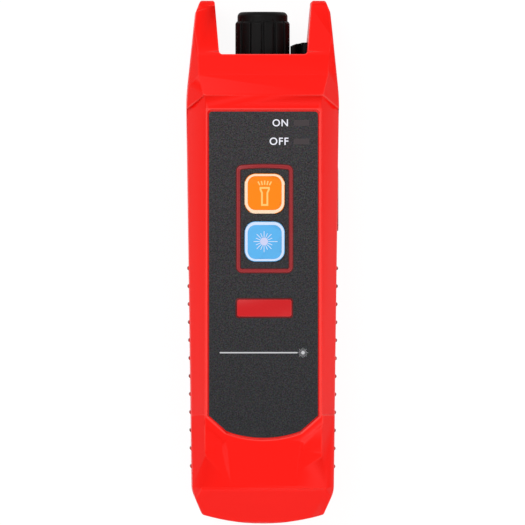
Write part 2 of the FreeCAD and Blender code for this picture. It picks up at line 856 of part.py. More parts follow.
def well_cutter():
    """The open well behind the lips, with the groove that holds the nose panel."""
    well = box(
        "well",
        (-gap_half_width, bulkhead_y - overrun, back_z + wall),
        (gap_half_width, end_y, lip_ceiling),
    )
    groove_x = gap_half_width + panel_tuck + panel_gap
    groove = box(
        "panel_groove",
        (-groove_x, well_floor_y - panel_thick - panel_gap, back_z + wall - well_step),
        (groove_x, well_floor_y + panel_gap, lip_ceiling + well_step),
    )
    pocket_half = tether_foot_half + tether_foot_gap
    pocket = box(
        "tether_pocket",
        (gap_half_width - overrun, well_floor_y + panel_gap, port_z - pocket_half),
        (gap_half_width + tether_pocket_depth, tether_far_top + tether_wall_play, port_z + pocket_half),
    )
    return fuse("well_cutter", [well, groove, pocket])


hollow = cavity()
seam = seam_cutter()
well = well_cutter()
ribs = both_sides("side_ribs_left", side_ribs())
outer = cut("outer_body", fuse("ribbed_body", [form, *ribs, side_pad()]), [seam, hollow, well])


def half_box(name, low_z, high_z):
    """All the room on one side of the seam."""
    reach = body_half_width + overrun * 2
    return box(name, (-reach, -end_y - overrun, low_z), (reach, end_y + overrun, high_z))


def front_shell():
    shell = common("front_half", [outer, half_box("front_side", split_z, thickness + overrun)])
    posts = []
    holes = [
        prism("overlay_recess", "top", overlay_corners(recess_gap), recess_z, thickness + overrun),
        prism("torch_key_window", "top", key_corners(torch_key_y, key_gap), split_z, thickness),
        prism("laser_key_window", "top", key_corners(laser_key_y, key_gap), split_z, thickness),
        window_box("upper_window", upper_window_y, window_gap, split_z, thickness),
        window_box("lower_window", lower_window_y, window_gap, split_z, thickness),
    ]
    boss_height = ceiling_z - boss_short - split_z
    pilot_depth = screw_seat + screw_length + overrun - split_z
    for name, x, y in boss_places():
        posts.append(rod(f"front_boss_{name}", boss_radius, boss_height, (x, y, split_z)))
        pilot_at = (x, y, split_z - panel_gap)
        holes.append(rod(f"pilot_{name}", screw_radius + fit_gap, pilot_depth, pilot_at))
    post_height = ceiling_z + sink - board_top
    for name, x, y in board_posts():
        posts.append(rod(f"board_post_{name}", board_post_radius, post_height, (x, y, board_top)))
        pilot_at = (x, y, board_top - panel_gap)
        holes.append(rod(f"board_pilot_{name}", board_screw_radius + fit_gap, board_screw_length, pilot_at))
    return cut("front_shell", fuse("front_with_posts", [shell, *posts]), holes)


def board_posts():
    return [
        ("upper_right", board_post_x, board_post_high_y),
        ("upper_left", -board_post_x, board_post_high_y),
        ("lower_right", board_post_x, board_post_low_y),
        ("lower_left", -board_post_x, board_post_low_y),
    ]


def bay_solids(door_top, bay_top):
    """The battery bay's walls, the rails beside the door and the two runners."""
    outer_x = bay_half_width + bay_wall
    low_y, high_y = bay_low_y - bay_wall, bay_high_y + bay_wall
    solids = [box("bay_block", (-outer_x, low_y, door_top), (outer_x, high_y, bay_top + bay_wall))]
    rail_x = door_half_width + tongue_reach + wall
    rail = box(
        "rail_block",
        (bay_half_width, low_y, back_z),
        (rail_x, door_high_y + bay_wall, back_z + rail_height),
    )
    runner_half = runner_width / 2
    runner = box(
        "runner",
        (runner_place - runner_half, runner_low_y, 0),
        (runner_place + runner_half, runner_high_y, back_z + panel_gap),
    )
    return solids + both_sides("rail_block_left", rail) + both_sides("runner_left", runner)


def rear_shell():
    shell = common("rear_half", [outer, half_box("rear_side", -overrun, split_z)])
    door_top = back_z + door_thick + door_gap
    bay_top = door_top + cell_radius * 2 + cell_gap * 2
    solids = bay_solids(door_top, bay_top)
    opening_x = door_half_width + door_gap
    groove_x = door_half_width + tongue_reach + door_gap * 2
    open_y = -end_y - overrun
    tools = [
        box("bay", (-bay_half_width, bay_low_y, back_z), (bay_half_width, bay_high_y, bay_top)),
        box("door_opening", (-opening_x, open_y, -overrun), (opening_x, door_high_y + door_gap, door_top)),
        box(
            "tongue_groove",
            (-groove_x, open_y, tongue_low - door_gap),
            (groove_x, door_high_y + door_gap, tongue_low + tongue_thick + door_gap),
        ),
    ]
    seat_radius = screw_head_radius + screw_seat_gap
    for name, x, y in boss_places():
        boss_at = (x, y, back_z + sink)
        solids.append(rod(f"rear_boss_{name}", boss_radius, split_z - back_z - sink, boss_at))
        hole_at = (x, y, -sink)
        tools.append(rod(f"screw_hole_{name}", screw_radius + screw_hole_gap, split_z + overrun, hole_at))
        seat_at = (x, y, -overrun)
        tools.append(rod(f"screw_seat_{name}", seat_radius, screw_seat + overrun, seat_at))
    cradle_half = barrel_radius + cradle_wall
    for name, y in (("cradle_front", cradle_front_y), ("cradle_back", cradle_back_y)):
        low = (-cradle_half, y - cradle_half_thick, back_z + sink)
        solids.append(box(name, low, (cradle_half, y + cradle_half_thick, port_z - cradle_drop)))
    bore_at = (0, barrel_back_y - cradle_wall, port_z)
    bore_length = barrel_length + cradle_wall
    tools.append(rod("cradle_bore", barrel_radius + fit_gap, bore_length, bore_at, "y"))
    return cut("rear_shell", fuse("rear_with_bay", [shell, *solids]), tools)


# -------------------------------------------------------- keys, overlay, windows

def frame_corners(inset=0):
    """The outline of the raised frame round the keys. Its upper side is bowed."""
    half = frame_half - inset
    low, high = frame_low_y + inset, frame_high_y - inset
    bend = {"round": frame_round - inset}
    return [
        (key_offset + half, low, bend),
        (key_offset + half, high, {**bend, "bulge": frame_bow}),
        (key_offset - half, high, bend),
        (key_offset - half, low, bend),
    ]


def front_overlay():
    """The thin front sheet, with its windows and the raised frame round the keys."""
    low, high = recess_z - overrun, overlay_z + overrun
    sheet_body = prism("overlay_sheet", "top", overlay_corners(), recess_z, overlay_z)
    frame_top = overlay_z + frame_stand
    frame = cut(
        "key_frame",
        prism("frame_outside", "top", frame_corners(), recess_z, frame_top),
        [prism("frame_inside", "top", frame_corners(frame_line), low, high)],
    )
    holes = [
        prism("overlay_torch_window", "top", key_corners(torch_key_y, key_gap), low, high),
        prism("overlay_laser_window", "top", key_corners(laser_key_y, key_gap), low, high),
        window_box("overlay_upper_window", upper_window_y, window_gap, low, high),
        window_box("overlay_lower_window", lower_window_y, window_gap, low, high),
    ]
    return cut("front_overlay", fuse("framed_sheet", [sheet_body, frame]), holes)


def key(name, y):
    """A key cap: its top, the lip that keeps it behind the face, and its stem."""
    key_top = overlay_z + key_rise
    lip_top = ceiling_z - key_play
    lip_low = lip_top - key_lip_thick
    top = prism(f"{name}_top", "top", key_corners(y), lip_low, key_top)
    lip = prism(f"{name}_lip", "top", key_corners(y, key_lip), lip_low, lip_top)
    under_top = key_top - key_wall
    hollow = prism(f"{name}_hollow", "top", key_corners(y, -key_wall), lip_low - overrun, under_top)
    stem_length = under_top - plunger_top + sink
    stem = rod(f"{name}_stem", key_stem_radius, stem_length, (key_offset, y, plunger_top))
    return fuse(name, [cut(f"{name}_cap", fuse(f"{name}_solid", [top, lip]), [hollow]), stem])


def switch_body(name, y):
    """A small push switch soldered to the board, with a well for its plunger."""
    half = switch_width / 2
    top = board_top + switch_height
    body = rounded_block(f"{name}_body", half, half, mould_corner, board_top, top, (key_offset, y))
    depth = key_travel + switch_well_spare
    well = rod(f"{name}_well", plunger_radius + fit_gap, depth + overrun, (key_offset, y, top - depth))
    return cut(name, body, [well])


def plunger(name, y):
    """The switch's moving pin, between its well and the key's stem."""
    low = board_top + switch_height - plunger_tuck
    return rod(name, plunger_radius, plunger_top - low, (key_offset, y, low))


def light_guide(name, y):
    """A clear bar that fills its window and reaches down to the lamp on the board."""
    bar = window_box(f"{name}_bar", y, 0, board_top + led_height + guide_gap, overlay_z)
    flange = window_box(f"{name}_flange", y, guide_flange, ceiling_z - guide_flange_thick, ceiling_z)
    return fuse(name, [bar, flange])


def indicator_led(name, y):
    """A surface-mount lamp: a moulded base and the lens block on it."""
    half_x, half_y = led_length / 2, led_width / 2
    lens_x = half_x - led_lens_inset
    base_top = board_top + led_height / 2
    base = box(
        f"{name}_base",
        (window_x - half_x, y - half_y, board_top),
        (window_x + half_x, y + half_y, base_top),
    )
    lens = box(
        f"{name}_lens",
        (window_x - lens_x, y - half_y, base_top),
        (window_x + lens_x, y + half_y, board_top + led_height),
    )
    return fuse(name, [base, lens])


# --------------------------------------------------------------- circuit board

def circuit_board():
    """The board, with holes for its screws and notches for the shells' bosses."""
    mid_y = (board_low_y + board_high_y) / 2
    half_y = (board_high_y - board_low_y) / 2
    slab = rounded_block(
        "board_slab", board_half_width, half_y, board_corner, board_bottom, board_top, (0, mid_y)
    )
    through = board_thick + overrun * 2
    low_z = board_bottom - overrun
    holes = []
    for name, x, y in board_posts():
        holes.append(rod(f"board_hole_{name}", board_screw_radius + board_hole_gap, through, (x, y, low_z)))
    for name, x, y in boss_places():
        holes.append(rod(f"board_notch_{name}", boss_radius + boss_notch_gap, through, (x, y, low_z)))
    return cut("circuit_board", slab, holes)


def board_screws():
    """Four small screws that hold the board to the front shell's posts."""
    screws = []
    shank_length = board_screw_length - board_screw_spare
    for name, x, y in board_posts():
        shank_at = (x, y, board_bottom - board_hole_gap)
        shank = rod(f"board_shank_{name}", board_screw_radius, shank_length, shank_at)
        head_at = (x, y, board_bottom - board_head_thick)
        head = rod(f"board_head_{name}", board_head_radius, board_head_thick, head_at)
        screws.append(fuse(f"board_screw_{name}", [shank, head]))
    return group("board_screws", screws)


def control_chip():
    """The square controller between the keys' switches and the board's lower end."""
    half = chip_width / 2
    low_z = board_top + chip_lift
    body = rounded_block("chip_body", half, half, mould_corner, low_z, low_z + chip_thick, (chip_x, chip_y))
    reach = half + leg_reach
    legs = []
    for i in range(4):
        step = (i - 1.5) * (chip_width - chip_leg_inset) / 3
        for axis in "xy":
            half_x, half_y = (reach, chip_leg_half) if axis == "x" else (chip_leg_half, reach)
            x = chip_x if axis == "x" else chip_x + step
            y = chip_y + step if axis == "x" else chip_y
            low = (x - half_x, y - half_y, board_top)
            legs.append(box(f"chip_leg_{axis}{i}", low, (x + half_x, y + half_y, board_top + leg_height)))
    return fuse("control_chip", [body, *legs])


def driver_chip():
    """The laser's driver, on the back of the board beside the barrel."""
    x = driver_inset - board_half_width
    top = board_bottom - chip_lift
    body = box(
        "driver_body",
        (x - driver_half_width, driver_y - driver_half_length, top - driver_thick),
        (x + driver_half_width, driver_y + driver_half_length, top),
    )
    reach = driver_half_width + leg_reach
    legs = []
    for i in range(4):
        y = driver_y + leg_pitch * (i - 1.5)
        low = (x - reach, y - leg_half_width, board_bottom - leg_height)
        legs.append(box(f"driver_leg_{i}", low, (x + reach, y + leg_half_width, board_bottom)))
    return fuse("driver_chip", [body, *legs])


def capacitor():
    """The can capacitor that steadies the supply, on the back of the board."""
    radius = capacitor_radius
    x, y = board_half_width - radius - capacitor_inset, driver_y
    can_top = board_bottom - capacitor_foot_thick + capacitor_foot_lap
    can = rod("capacitor_can", radius, capacitor_height, (x, y, can_top - capacitor_height))
    foot = box(
        "capacitor_foot",
        (x - radius, y - radius, board_bottom - capacitor_foot_thick),
        (x + radius, y + radius, board_bottom),
    )
    return fuse("capacitor", [can, foot])


# ------------------------------------------------------------------- the port

def nose_panel():
    """The panel at the foot of the well. Its edges sit in the shells' groove."""
    half = gap_half_width + panel_tuck
    low_z = back_z + wall - well_step + panel_gap
    high_z = lip_ceiling + well_step - panel_gap
    bend = {"round": panel_corner}
    corners = [
        (half, low_z, bend),
        (half, high_z, bend),
        (-half, high_z, bend),
        (-half, low_z, bend),
    ]
    plate = prism("panel_plate", "front", corners, well_floor_y - panel_thick, well_floor_y)
    through = panel_thick + overrun * 2
    back_y = well_floor_y - panel_thick - overrun
    holes = [
        rod("panel_port_hole", port_thread_radius + panel_gap, through, (0, back_y, port_z), "y"),
        rod("panel_torch_hole", torch_radius + panel_gap, through, (torch_x, back_y, torch_z), "y"),
    ]
    return cut("nose_panel", plate, holes)


def port_adapter():
    """The turned adapter: threaded stem, flange, barrel, the sleeve's pocket, and behind it a
    passage that narrows with the beam."""
    stem_y = barrel_front_y - thread_reach
    flange_y = well_floor_y + port_seal_thick
    front_y = flange_y + port_flange_thick
    pocket_radius = sleeve_radius + fit_gap / 2
    corners = [
        (stem_y, beam_radius + beam_gap),
        (sleeve_back_y, beam_radius),
        (sleeve_back_y, pocket_radius),
        (port_tip_y - port_lead_in, pocket_radius),
        (port_tip_y, sleeve_radius + port_chamfer),
        (port_tip_y, port_barrel_radius - port_chamfer),
        (port_tip_y - port_chamfer, port_barrel_radius),
        (front_y, port_barrel_radius),
        (front_y, port_flange_radius - flange_chamfer),
        (front_y - flange_chamfer, port_flange_radius),
        (flange_y, port_flange_radius),
        (flange_y, port_thread_radius),
        (stem_y, port_thread_radius),
    ]
    return turned("port_adapter", corners[::-1], (0, 0, port_z))


def ferrule_sleeve():
    """The split sleeve that lines up the ferrule of a patch cord with the beam."""
    low_y = sleeve_back_y - overrun
    through = sleeve_length + overrun * 2
    slot = box(
        "sleeve_slot",
        (-sleeve_slit / 2, low_y, port_z + ferrule_radius / 2),
        (sleeve_slit / 2, low_y + through, port_z + sleeve_radius + overrun),
    )
    outside = rod("sleeve_outside", sleeve_radius, sleeve_length, (0, sleeve_back_y, port_z), "y")
    bore = rod("sleeve_bore", ferrule_radius, through, (0, low_y, port_z), "y")
    return cut("ferrule_sleeve", outside, [bore, slot])


def port_seal():
    """The flat rubber ring under the adapter's flange."""
    radius = port_flange_radius - seal_inset
    ring = rod("seal_outside", radius, port_seal_thick, (0, well_floor_y, port_z), "y")
    through = port_seal_thick + overrun * 2
    hole_at = (0, well_floor_y - overrun, port_z)
    return cut("port_seal", ring, [rod("seal_hole", port_thread_radius + panel_gap, through, hole_at, "y")])


def laser_barrel():
    """The turned barrel behind the panel. The adapter screws into its mouth."""
    back, front = barrel_back_y, barrel_front_y
    seat_radius = lens_radius + fit_gap / 2
    groove_y = front - barrel_groove_y
    thread_y = front - thread_reach - port_lead_in
    corners = [
        (back, diode_radius + fit_gap / 2),
        (back + diode_depth, diode_radius + fit_gap / 2),
        (back + diode_depth, beam_radius + beam_gap),
        (lens_y - lens_half_edge, beam_radius + beam_gap),
        (lens_y - lens_half_edge, seat_radius),
        (thread_y, seat_radius),
        (thread_y, port_thread_radius + fit_gap),
        (front, port_thread_radius + fit_gap),
        (front, barrel_radius - barrel_chamfer),
        (front - barrel_chamfer, barrel_radius),
        (groove_y, barrel_radius),
        (groove_y, barrel_radius - barrel_groove_depth),
        (groove_y - barrel_groove_width, barrel_radius - barrel_groove_depth),
        (groove_y - barrel_groove_width, barrel_radius),
        (back + barrel_chamfer, barrel_radius),
        (back, barrel_radius - barrel_chamfer),
    ]
    return turned("laser_barrel", corners[::-1], (0, 0, port_z))


def focus_lens():
    """The small plano-convex lens that focuses the beam on the ferrule."""
    corners = [
        (lens_y - lens_half_edge, Size.of(0)),
        (lens_y - lens_half_edge, lens_radius),
        (lens_y + lens_half_edge, lens_radius),
        (lens_y + lens_shoulder, lens_radius * 0.7),
        (lens_y + lens_rise, lens_radius * 0.3),
        (lens_y + lens_rise, Size.of(0)),
    ]
    return turned("focus_lens", corners[::-1], (0, 0, port_z))


def laser_diode():
    """The diode's can, its base flange and its three leads."""
    front = barrel_back_y + diode_depth
    base_y = front - diode_can_length - diode_base_thick
    can_at = (0, front - diode_can_length - sink, port_z)
    can = rod("diode_can", diode_radius - diode_can_inset, diode_can_length + sink, can_at, "y")
    base = rod("diode_base", diode_radius, diode_base_thick, (0, base_y, port_z), "y")
    leads = []
    around = diode_lead_circle
    for i, (x, z) in enumerate(((-around, diode_lead_rise), (around, diode_lead_rise), (0, -around))):
        at = (x, base_y - diode_lead_length, port_z + z)
        leads.append(rod(f"diode_lead_{i}", lead_radius, diode_lead_length + sink, at, "y"))
    return fuse("laser_diode", [can, base, *leads])


def ribbed_outline(inner, outer, count, width):
    """A ring of flat-topped ribs round a circle, as seen along the port."""
    corners = []
    half_out = width.value / 2 / outer.value
    half_in = half_out * 1.25
    for i in range(count):
        turn = 2 * math.pi * i / count
        for radius, angle in ((inner, -half_in), (outer, -half_out), (outer, half_out), (inner, half_in)):
            corners.append((radius * math.cos(turn + angle), radius * math.sin(turn + angle)))
    return corners


def dust_cap():
    """The cap over the port: a cup with a rounded crown, ribs and a neck for the tether."""
    neck = cap_base_y + cap_foot
    shoulder = neck + cap_groove
    outer = cap_radius + cap_rib_stand
    cavity_radius = port_barrel_radius + fit_gap
    cup_corners = [
        (cap_base_y, cavity_radius),
        (cap_base_y, outer),
        (neck, outer),
        (neck, cap_neck_radius),
        (shoulder, cap_neck_radius),
        (shoulder, cap_radius),
        (cap_top_y, cap_radius, {"round": cap_round}),
        (cap_top_y, Size.of(0)),
        (port_tip_y + cap_ceiling, Size.of(0)),
        (port_tip_y + cap_ceiling, cavity_radius / 2),
        (port_tip_y + cap_ceiling_slope, cavity_radius),
    ]
    cup = turned("cap_cup", cup_corners[::-1], (0, 0, port_z))
    rib_top = cap_top_y - cap_rib_drop
    rib_foot = cap_radius - overrun
    envelope_corners = [
        (shoulder, rib_foot),
        (shoulder, outer),
        (rib_top - cap_rib_stand, outer),
        (rib_top, cap_radius + cap_rib_stand * 0.3),
        (rib_top, rib_foot),
    ]
    envelope = turned("cap_rib_envelope", envelope_corners[::-1], (0, 0, port_z))
    star = ribbed_outline(cap_radius - 0.2, outer + sink, int(cap_rib_count.value), cap_rib_width)
    bars = prism("cap_rib_bars", "front", star, shoulder, rib_top)
    place(bars.Base, 0, rib_top, port_z)
    return fuse("dust_cap", [cup, common("cap_ribs", [envelope, bars])])


def cap_tether():
    """The rubber tether: a ring in the cap's neck, a slack folded band and a foot held
    in the pocket between the shells."""
    low = cap_base_y + cap_foot + panel_gap
    ring_thick = cap_groove - panel_gap * 2
    hole_at = (0, low - overrun, port_z)
    ring = cut(
        "tether_ring",
        rod("tether_ring_outside", tether_ring_radius, ring_thick, (0, low, port_z), "y"),
        [rod("tether_ring_hole", cap_neck_radius + panel_gap, cap_groove * 2, hole_at, "y")],
    )
    half = tether_thick / 2
    first_x = tether_ring_radius + tether_ring_play + half
    second_x = gap_half_width - tether_wall_play - half
    low_z = port_z - tether_fold
    start_x = cap_radius + cap_rib_stand + tether_cap_gap
    end_x = gap_half_width + tether_pocket_depth - tether_foot_gap
    soft, tight = {"round": tether_thick}, {"round": tether_thick * 0.3}
    strip = [
        (start_x, port_z - half),
        (first_x - half, port_z - half, tight),
        (first_x - half, low_z - half, soft),
        (second_x + half, low_z - half, soft),
        (second_x + half, port_z - half, tight),
        (end_x, port_z - half),
        (end_x, port_z + half),
        (second_x - half, port_z + half, soft),
        (second_x - half, low_z + half, tight),
        (first_x + half, low_z + half, tight),
        (first_x + half, port_z + half, soft),
        (start_x, port_z + half),
    ]
    band = prism("tether_strip", "front", strip, low, tether_far_top + overrun)
    rise = tether_far_top - tether_near_top
    shallow = rise * 0.1
    reach = [
        (start_x - overrun, low),
        (end_x, low),
        (end_x, tether_far_top - shallow),
        (gap_half_width + half, tether_far_top, {"bulge": rise * 0.35}),
        (start_x - overrun, tether_near_top - shallow),
    ]
    limit = prism("tether_reach", "top", reach, 0, thickness)
    foot = box(
        "tether_foot",
        (end_x - tether_foot_thick, well_floor_y + overrun, port_z - tether_foot_half),
        (end_x, tether_far_top, port_z + tether_foot_half),
    )
    return fuse("cap_tether", [ring, common("tether_band", [band, limit]), foot])


# --------------------------------------------------------------------- torch

def torch_led():
    """A five millimetre lamp: flanged body, domed lens and two leads."""
    tip_y = well_floor_y + torch_stand
    seat_y = well_floor_y - panel_thick - torch_seat_gap
    back_y = seat_y - torch_flange_thick
    corners = [
        (back_y, Size.of(0)),
        (back_y, torch_radius + torch_flange),
        (seat_y, torch_radius + torch_flange),
        (seat_y, torch_radius),
        (tip_y, torch_radius, {"round": torch_radius * 0.95}),
        (tip_y, Size.of(0)),
    ]
    lamp = turned("torch_lamp", corners[::-1], (torch_x, 0, torch_z))
    leads = []
    for i, side in enumerate((-1, 1)):
        at = (torch_x + torch_lead_offset * side, back_y - torch_lead_length, torch_z)
        leads.append(rod(f"torch_lead_{i}", lead_radius, torch_lead_length + sink, at, "y"))
    return fuse("torch_led", [lamp, *leads])


def torch_bezel():
    """The flared ring that holds the lamp to the nose panel."""
    inner = torch_radius + fit_gap
    rim_y = well_floor_y + bezel_depth
    corners = [
        (well_floor_y, inner),
        (well_floor_y, bezel_radius),
        (rim_y - bezel_flare, bezel_radius, {"round": bezel_round}),
        (rim_y, bezel_radius - bezel_round),
        (well_floor_y + bezel_seat, inner),
    ]
    return turned("torch_bezel", corners[::-1], (torch_x, 0, torch_z))


# ------------------------------------------------------------ battery and door

def battery_cell(name, x, nub_up):
    """One cell: its can and the nub at its positive end."""
    if nub_up:
        can_y = bay_low_y + spring_room
        nub_y = can_y + cell_length - panel_gap
    else:
        nub_y = bay_low_y + contact_thick + contact_gap
        can_y = nub_y + cell_nub_length
    can = rod(f"{name}_can", cell_radius, cell_length, (x, can_y, cell_z), "y")
    nub = rod(f"{name}_nub", cell_nub_radius, cell_nub_length + panel_gap, (x, nub_y, cell_z), "y")
    return fuse(name, [can, nub])


def contact_plate(name, x, low_y):
    """A flat contact plate across one end of the bay."""
    half = cell_radius - contact_inset
    low = (x - half, low_y, cell_z - half)
    return box(name, low, (x + half, low_y + contact_thick, cell_z + half))


def spring_contact(name, x, end_y, way):
    """A contact plate at an end of the bay with a coil spring that points along Y."""
    plate = contact_plate(f"{name}_plate", x, end_y if way > 0 else end_y - contact_thick)
    rise = spring_room - contact_thick - spring_wire * 1.8 - spring_end_gap
    start_y = end_y + (contact_thick + spring_wire * 0.8) * way
    coil = doc.addObject("Part::Helix", f"{name}_coil")
    bind(coil, Pitch=rise / spring_turns, Height=rise, Radius=spring_radius)
    coil.Placement = Placement(Vector(), Rotation(Vector(1, 0, 0), -90 * way))
    place(coil, x, start_y, cell_z)
    wire = doc.addObject("Part::RegularPolygon", f"{name}_wire")
    wire.Polygon = 6
    bind(wire, Circumradius=spring_wire)
    place(wire, x + spring_radius, start_y, cell_z)
    sweep = doc.addObject("Part::Sweep", f"{name}_spring")
    sweep.Sections = [wire]
    sweep.Spine = (coil, ["Edge1"])
    sweep.Solid = True
    sweep.Frenet = True
    return fuse(name, [plate, sweep])


def battery_door():
    """The sliding door: a plate cut from the form, tongues along its sides and grip bars."""
    plate_low = (-door_half_width, -end_y - overrun, 0)
    plate_high = (door_half_width, door_high_y, back_z + door_thick)
    plate = common("door_plate", [form, box("door_block", plate_low, plate_high)])
    reach = door_half_width + tongue_reach
    tongues = []
    for i in range(int(tongue_count.value)):
        low_y = end_clear - end_y + tongue_pitch * i
        high = (reach, low_y + tongue_length, tongue_low + tongue_thick)
        tongues.append(box(f"door_tongue_{i}", (-reach, low_y, tongue_low), high))
    grip = []
    for i in range(int(grip_count.value)):
        low_y = door_high_y - grip_place - grip_pitch * i
        high = (grip_half, low_y + grip_pitch / 2, back_z + grip_depth)
        grip.append(box(f"door_grip_{i}", (-grip_half, low_y, -overrun), high))
    return cut("battery_door", fuse("door_with_tongues", [plate, *tongues]), grip)


def housing_screws():
    """The four screws that draw the shells together from the back."""
    screws = []
    head_z = screw_seat - screw_head_thick
    long, short = cross_half_length, cross_half_width
    for name, x, y in boss_places():
        shank_at = (x, y, screw_seat - panel_gap)
        shank = rod(f"shank_{name}", screw_radius, screw_length, shank_at)
        head = rod(f"head_{name}", screw_head_radius, screw_head_thick, (x, y, head_z))
        slots = []
        for way, half_x, half_y in (("across", long, short), ("along", short, long)):
            low = (x - half_x, y - half_y, head_z - overrun)
            high = (x + half_x, y + half_y, head_z + cross_depth)
            slots.append(box(f"cross_{way}_{name}", low, high))
        screws.append(cut(f"screw_{name}", fuse(f"screw_blank_{name}", [head, shank]), slots))
    return group("housing_screws", screws)


def group(name, solids):
    """Separate solids that share one node."""
    holder = doc.addObject("Part::Compound", name)
    holder.Links = solids
    return holder


# --------------------------------------------------------------- every sub-part

parts = [
    front_shell(),
    rear_shell(),
    front_overlay(),
    key("torch_key", torch_key_y),
    key("laser_key", laser_key_y),
    plunger("torch_plunger", torch_key_y),
    plunger("laser_plunger", laser_key_y),
    switch_body("torch_switch", torch_key_y),
    switch_body("laser_switch", laser_key_y),
    light_guide("upper_light_guide", upper_window_y),
    light_guide("lower_light_guide", lower_window_y),
    indicator_led("upper_indicator_led", upper_window_y),
    indicator_led("lower_indicator_led", lower_window_y),
    circuit_board(),
    board_screws(),
    control_chip(),
    driver_chip(),
    capacitor(),
    nose_panel(),
    port_adapter(),
    ferrule_sleeve(),
    port_seal(),
    laser_barrel(),
    focus_lens(),
    laser_diode(),
    dust_cap(),
    cap_tether(),
    torch_led(),
    torch_bezel(),
    battery_cell("battery_cell_left", -cell_spacing / 2, True),
    battery_cell("battery_cell_right", cell_spacing / 2, False),
    spring_contact("contact_low_left", -cell_spacing / 2, bay_low_y, 1),
    contact_plate("contact_low_right", cell_spacing / 2, bay_low_y),
    contact_plate("contact_high_left", -cell_spacing / 2, bay_high_y - contact_thick),
    spring_contact("contact_high_right", cell_spacing / 2, bay_high_y, -1),
    battery_door(),
    housing_screws(),
]
doc.recompute()

for thing in doc.Objects:
    if "Invalid" in thing.State or "Error" in thing.State:
        raise RuntimeError(f"{thing.Name} did not build: {thing.State}")
for part in parts:
    if part.Shape.isNull() or not part.Shape.isValid():
        raise RuntimeError(f"{part.Label} has no valid shape")

os.makedirs("parts", exist_ok=True)
for part in parts:
    part.Shape.exportStep(f"parts/{part.Label}.step")
    print(part.Label, len(part.Shape.Solids), round(part.Shape.Volume, 1))
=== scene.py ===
# %% [markdown]
# # A visual fault locator
#
# The tool is a hand-held red housing with a forked nose. Between the two
# horns sits a black cap over the laser's port, and the dark face carries two
# soft keys. The measured model is loaded first: it says where every part is,
# and the pieces made below are placed on it.

import json
import math
from contextlib import contextmanager

import bmesh
import bpy
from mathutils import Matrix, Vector
from mathutils.bvhtree import BVHTree
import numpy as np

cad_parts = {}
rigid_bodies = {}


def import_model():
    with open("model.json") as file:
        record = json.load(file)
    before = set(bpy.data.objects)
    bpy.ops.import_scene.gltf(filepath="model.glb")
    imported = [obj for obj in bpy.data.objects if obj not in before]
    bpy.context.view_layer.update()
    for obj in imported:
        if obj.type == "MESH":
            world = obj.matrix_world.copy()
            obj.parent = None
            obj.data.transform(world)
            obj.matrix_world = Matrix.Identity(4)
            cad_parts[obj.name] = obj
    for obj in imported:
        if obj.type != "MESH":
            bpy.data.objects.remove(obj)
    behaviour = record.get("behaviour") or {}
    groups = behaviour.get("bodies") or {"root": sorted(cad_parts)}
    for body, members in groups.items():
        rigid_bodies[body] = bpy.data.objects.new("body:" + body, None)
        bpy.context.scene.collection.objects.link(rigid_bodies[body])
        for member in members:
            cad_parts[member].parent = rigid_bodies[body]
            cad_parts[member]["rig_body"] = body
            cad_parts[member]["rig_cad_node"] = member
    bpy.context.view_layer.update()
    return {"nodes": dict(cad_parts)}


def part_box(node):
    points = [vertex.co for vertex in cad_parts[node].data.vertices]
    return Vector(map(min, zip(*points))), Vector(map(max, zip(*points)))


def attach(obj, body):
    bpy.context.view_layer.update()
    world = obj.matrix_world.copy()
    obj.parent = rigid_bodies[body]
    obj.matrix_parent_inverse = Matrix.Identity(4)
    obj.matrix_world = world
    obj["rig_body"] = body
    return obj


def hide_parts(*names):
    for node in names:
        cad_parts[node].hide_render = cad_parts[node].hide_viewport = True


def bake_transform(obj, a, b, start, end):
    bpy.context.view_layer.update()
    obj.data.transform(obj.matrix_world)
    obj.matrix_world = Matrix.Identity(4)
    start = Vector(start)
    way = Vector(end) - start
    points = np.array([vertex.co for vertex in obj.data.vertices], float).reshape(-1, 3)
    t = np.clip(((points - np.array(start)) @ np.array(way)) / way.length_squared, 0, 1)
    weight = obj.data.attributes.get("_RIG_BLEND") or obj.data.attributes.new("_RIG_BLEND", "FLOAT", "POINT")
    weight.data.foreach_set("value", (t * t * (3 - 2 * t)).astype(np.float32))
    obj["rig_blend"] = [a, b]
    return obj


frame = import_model()
MM = 0.001

# %% [markdown]
# ## The camera
#
# A product picture is taken from far away with a long lens, so that both
# ends of a long object look the same size. The camera stands four metres
# above the face and a little to the left, so one flank shows more than the
# other. Its focal length follows from the width that it has to see.

# %% Camera
VIEW_WIDTH = 175.93
VIEW_MIDDLE_Y = -0.1
CAMERA_LEFT = 77.0
CAMERA_HEIGHT = 4000.0
AIM_HEIGHT = 16.0
SENSOR = 36

eye = Vector((-CAMERA_LEFT * MM, VIEW_MIDDLE_Y * MM, CAMERA_HEIGHT * MM))
aim = Vector((0, VIEW_MIDDLE_Y * MM, AIM_HEIGHT * MM))
lens_data = bpy.data.cameras.new("camera")
lens_data.sensor_width = SENSOR
lens_data.lens = SENSOR * (eye - aim).length / (VIEW_WIDTH * MM)
lens_data.clip_end = 50
camera = bpy.data.objects.new("camera", lens_data)
camera.location = eye
camera.rotation_euler = (0, math.atan2(eye.x - aim.x, eye.z - aim.z), 0)
bpy.context.scene.collection.objects.link(camera)
bpy.context.scene.camera = camera
print("lens, mm:", round(lens_data.lens, 1))

# %% [markdown]
# ## Small helpers
#
# Operators act on whatever is selected, so each step starts by deselecting
# everything. Most of the modelling is done in Edit Mode, either on all of a
# mesh or on the corners, edges or faces that lie in one place, so one helper
# enters that mode, selects what is wanted and leaves it again. Lengths are
# written in millimetres, as on a drawing, and are turned into metres where
# Blender takes them. The few that are in metres say so.

# %% Helpers for selecting and editing a piece
NEAR = 0.01  # what lies closer than this, in millimetres, counts as one place


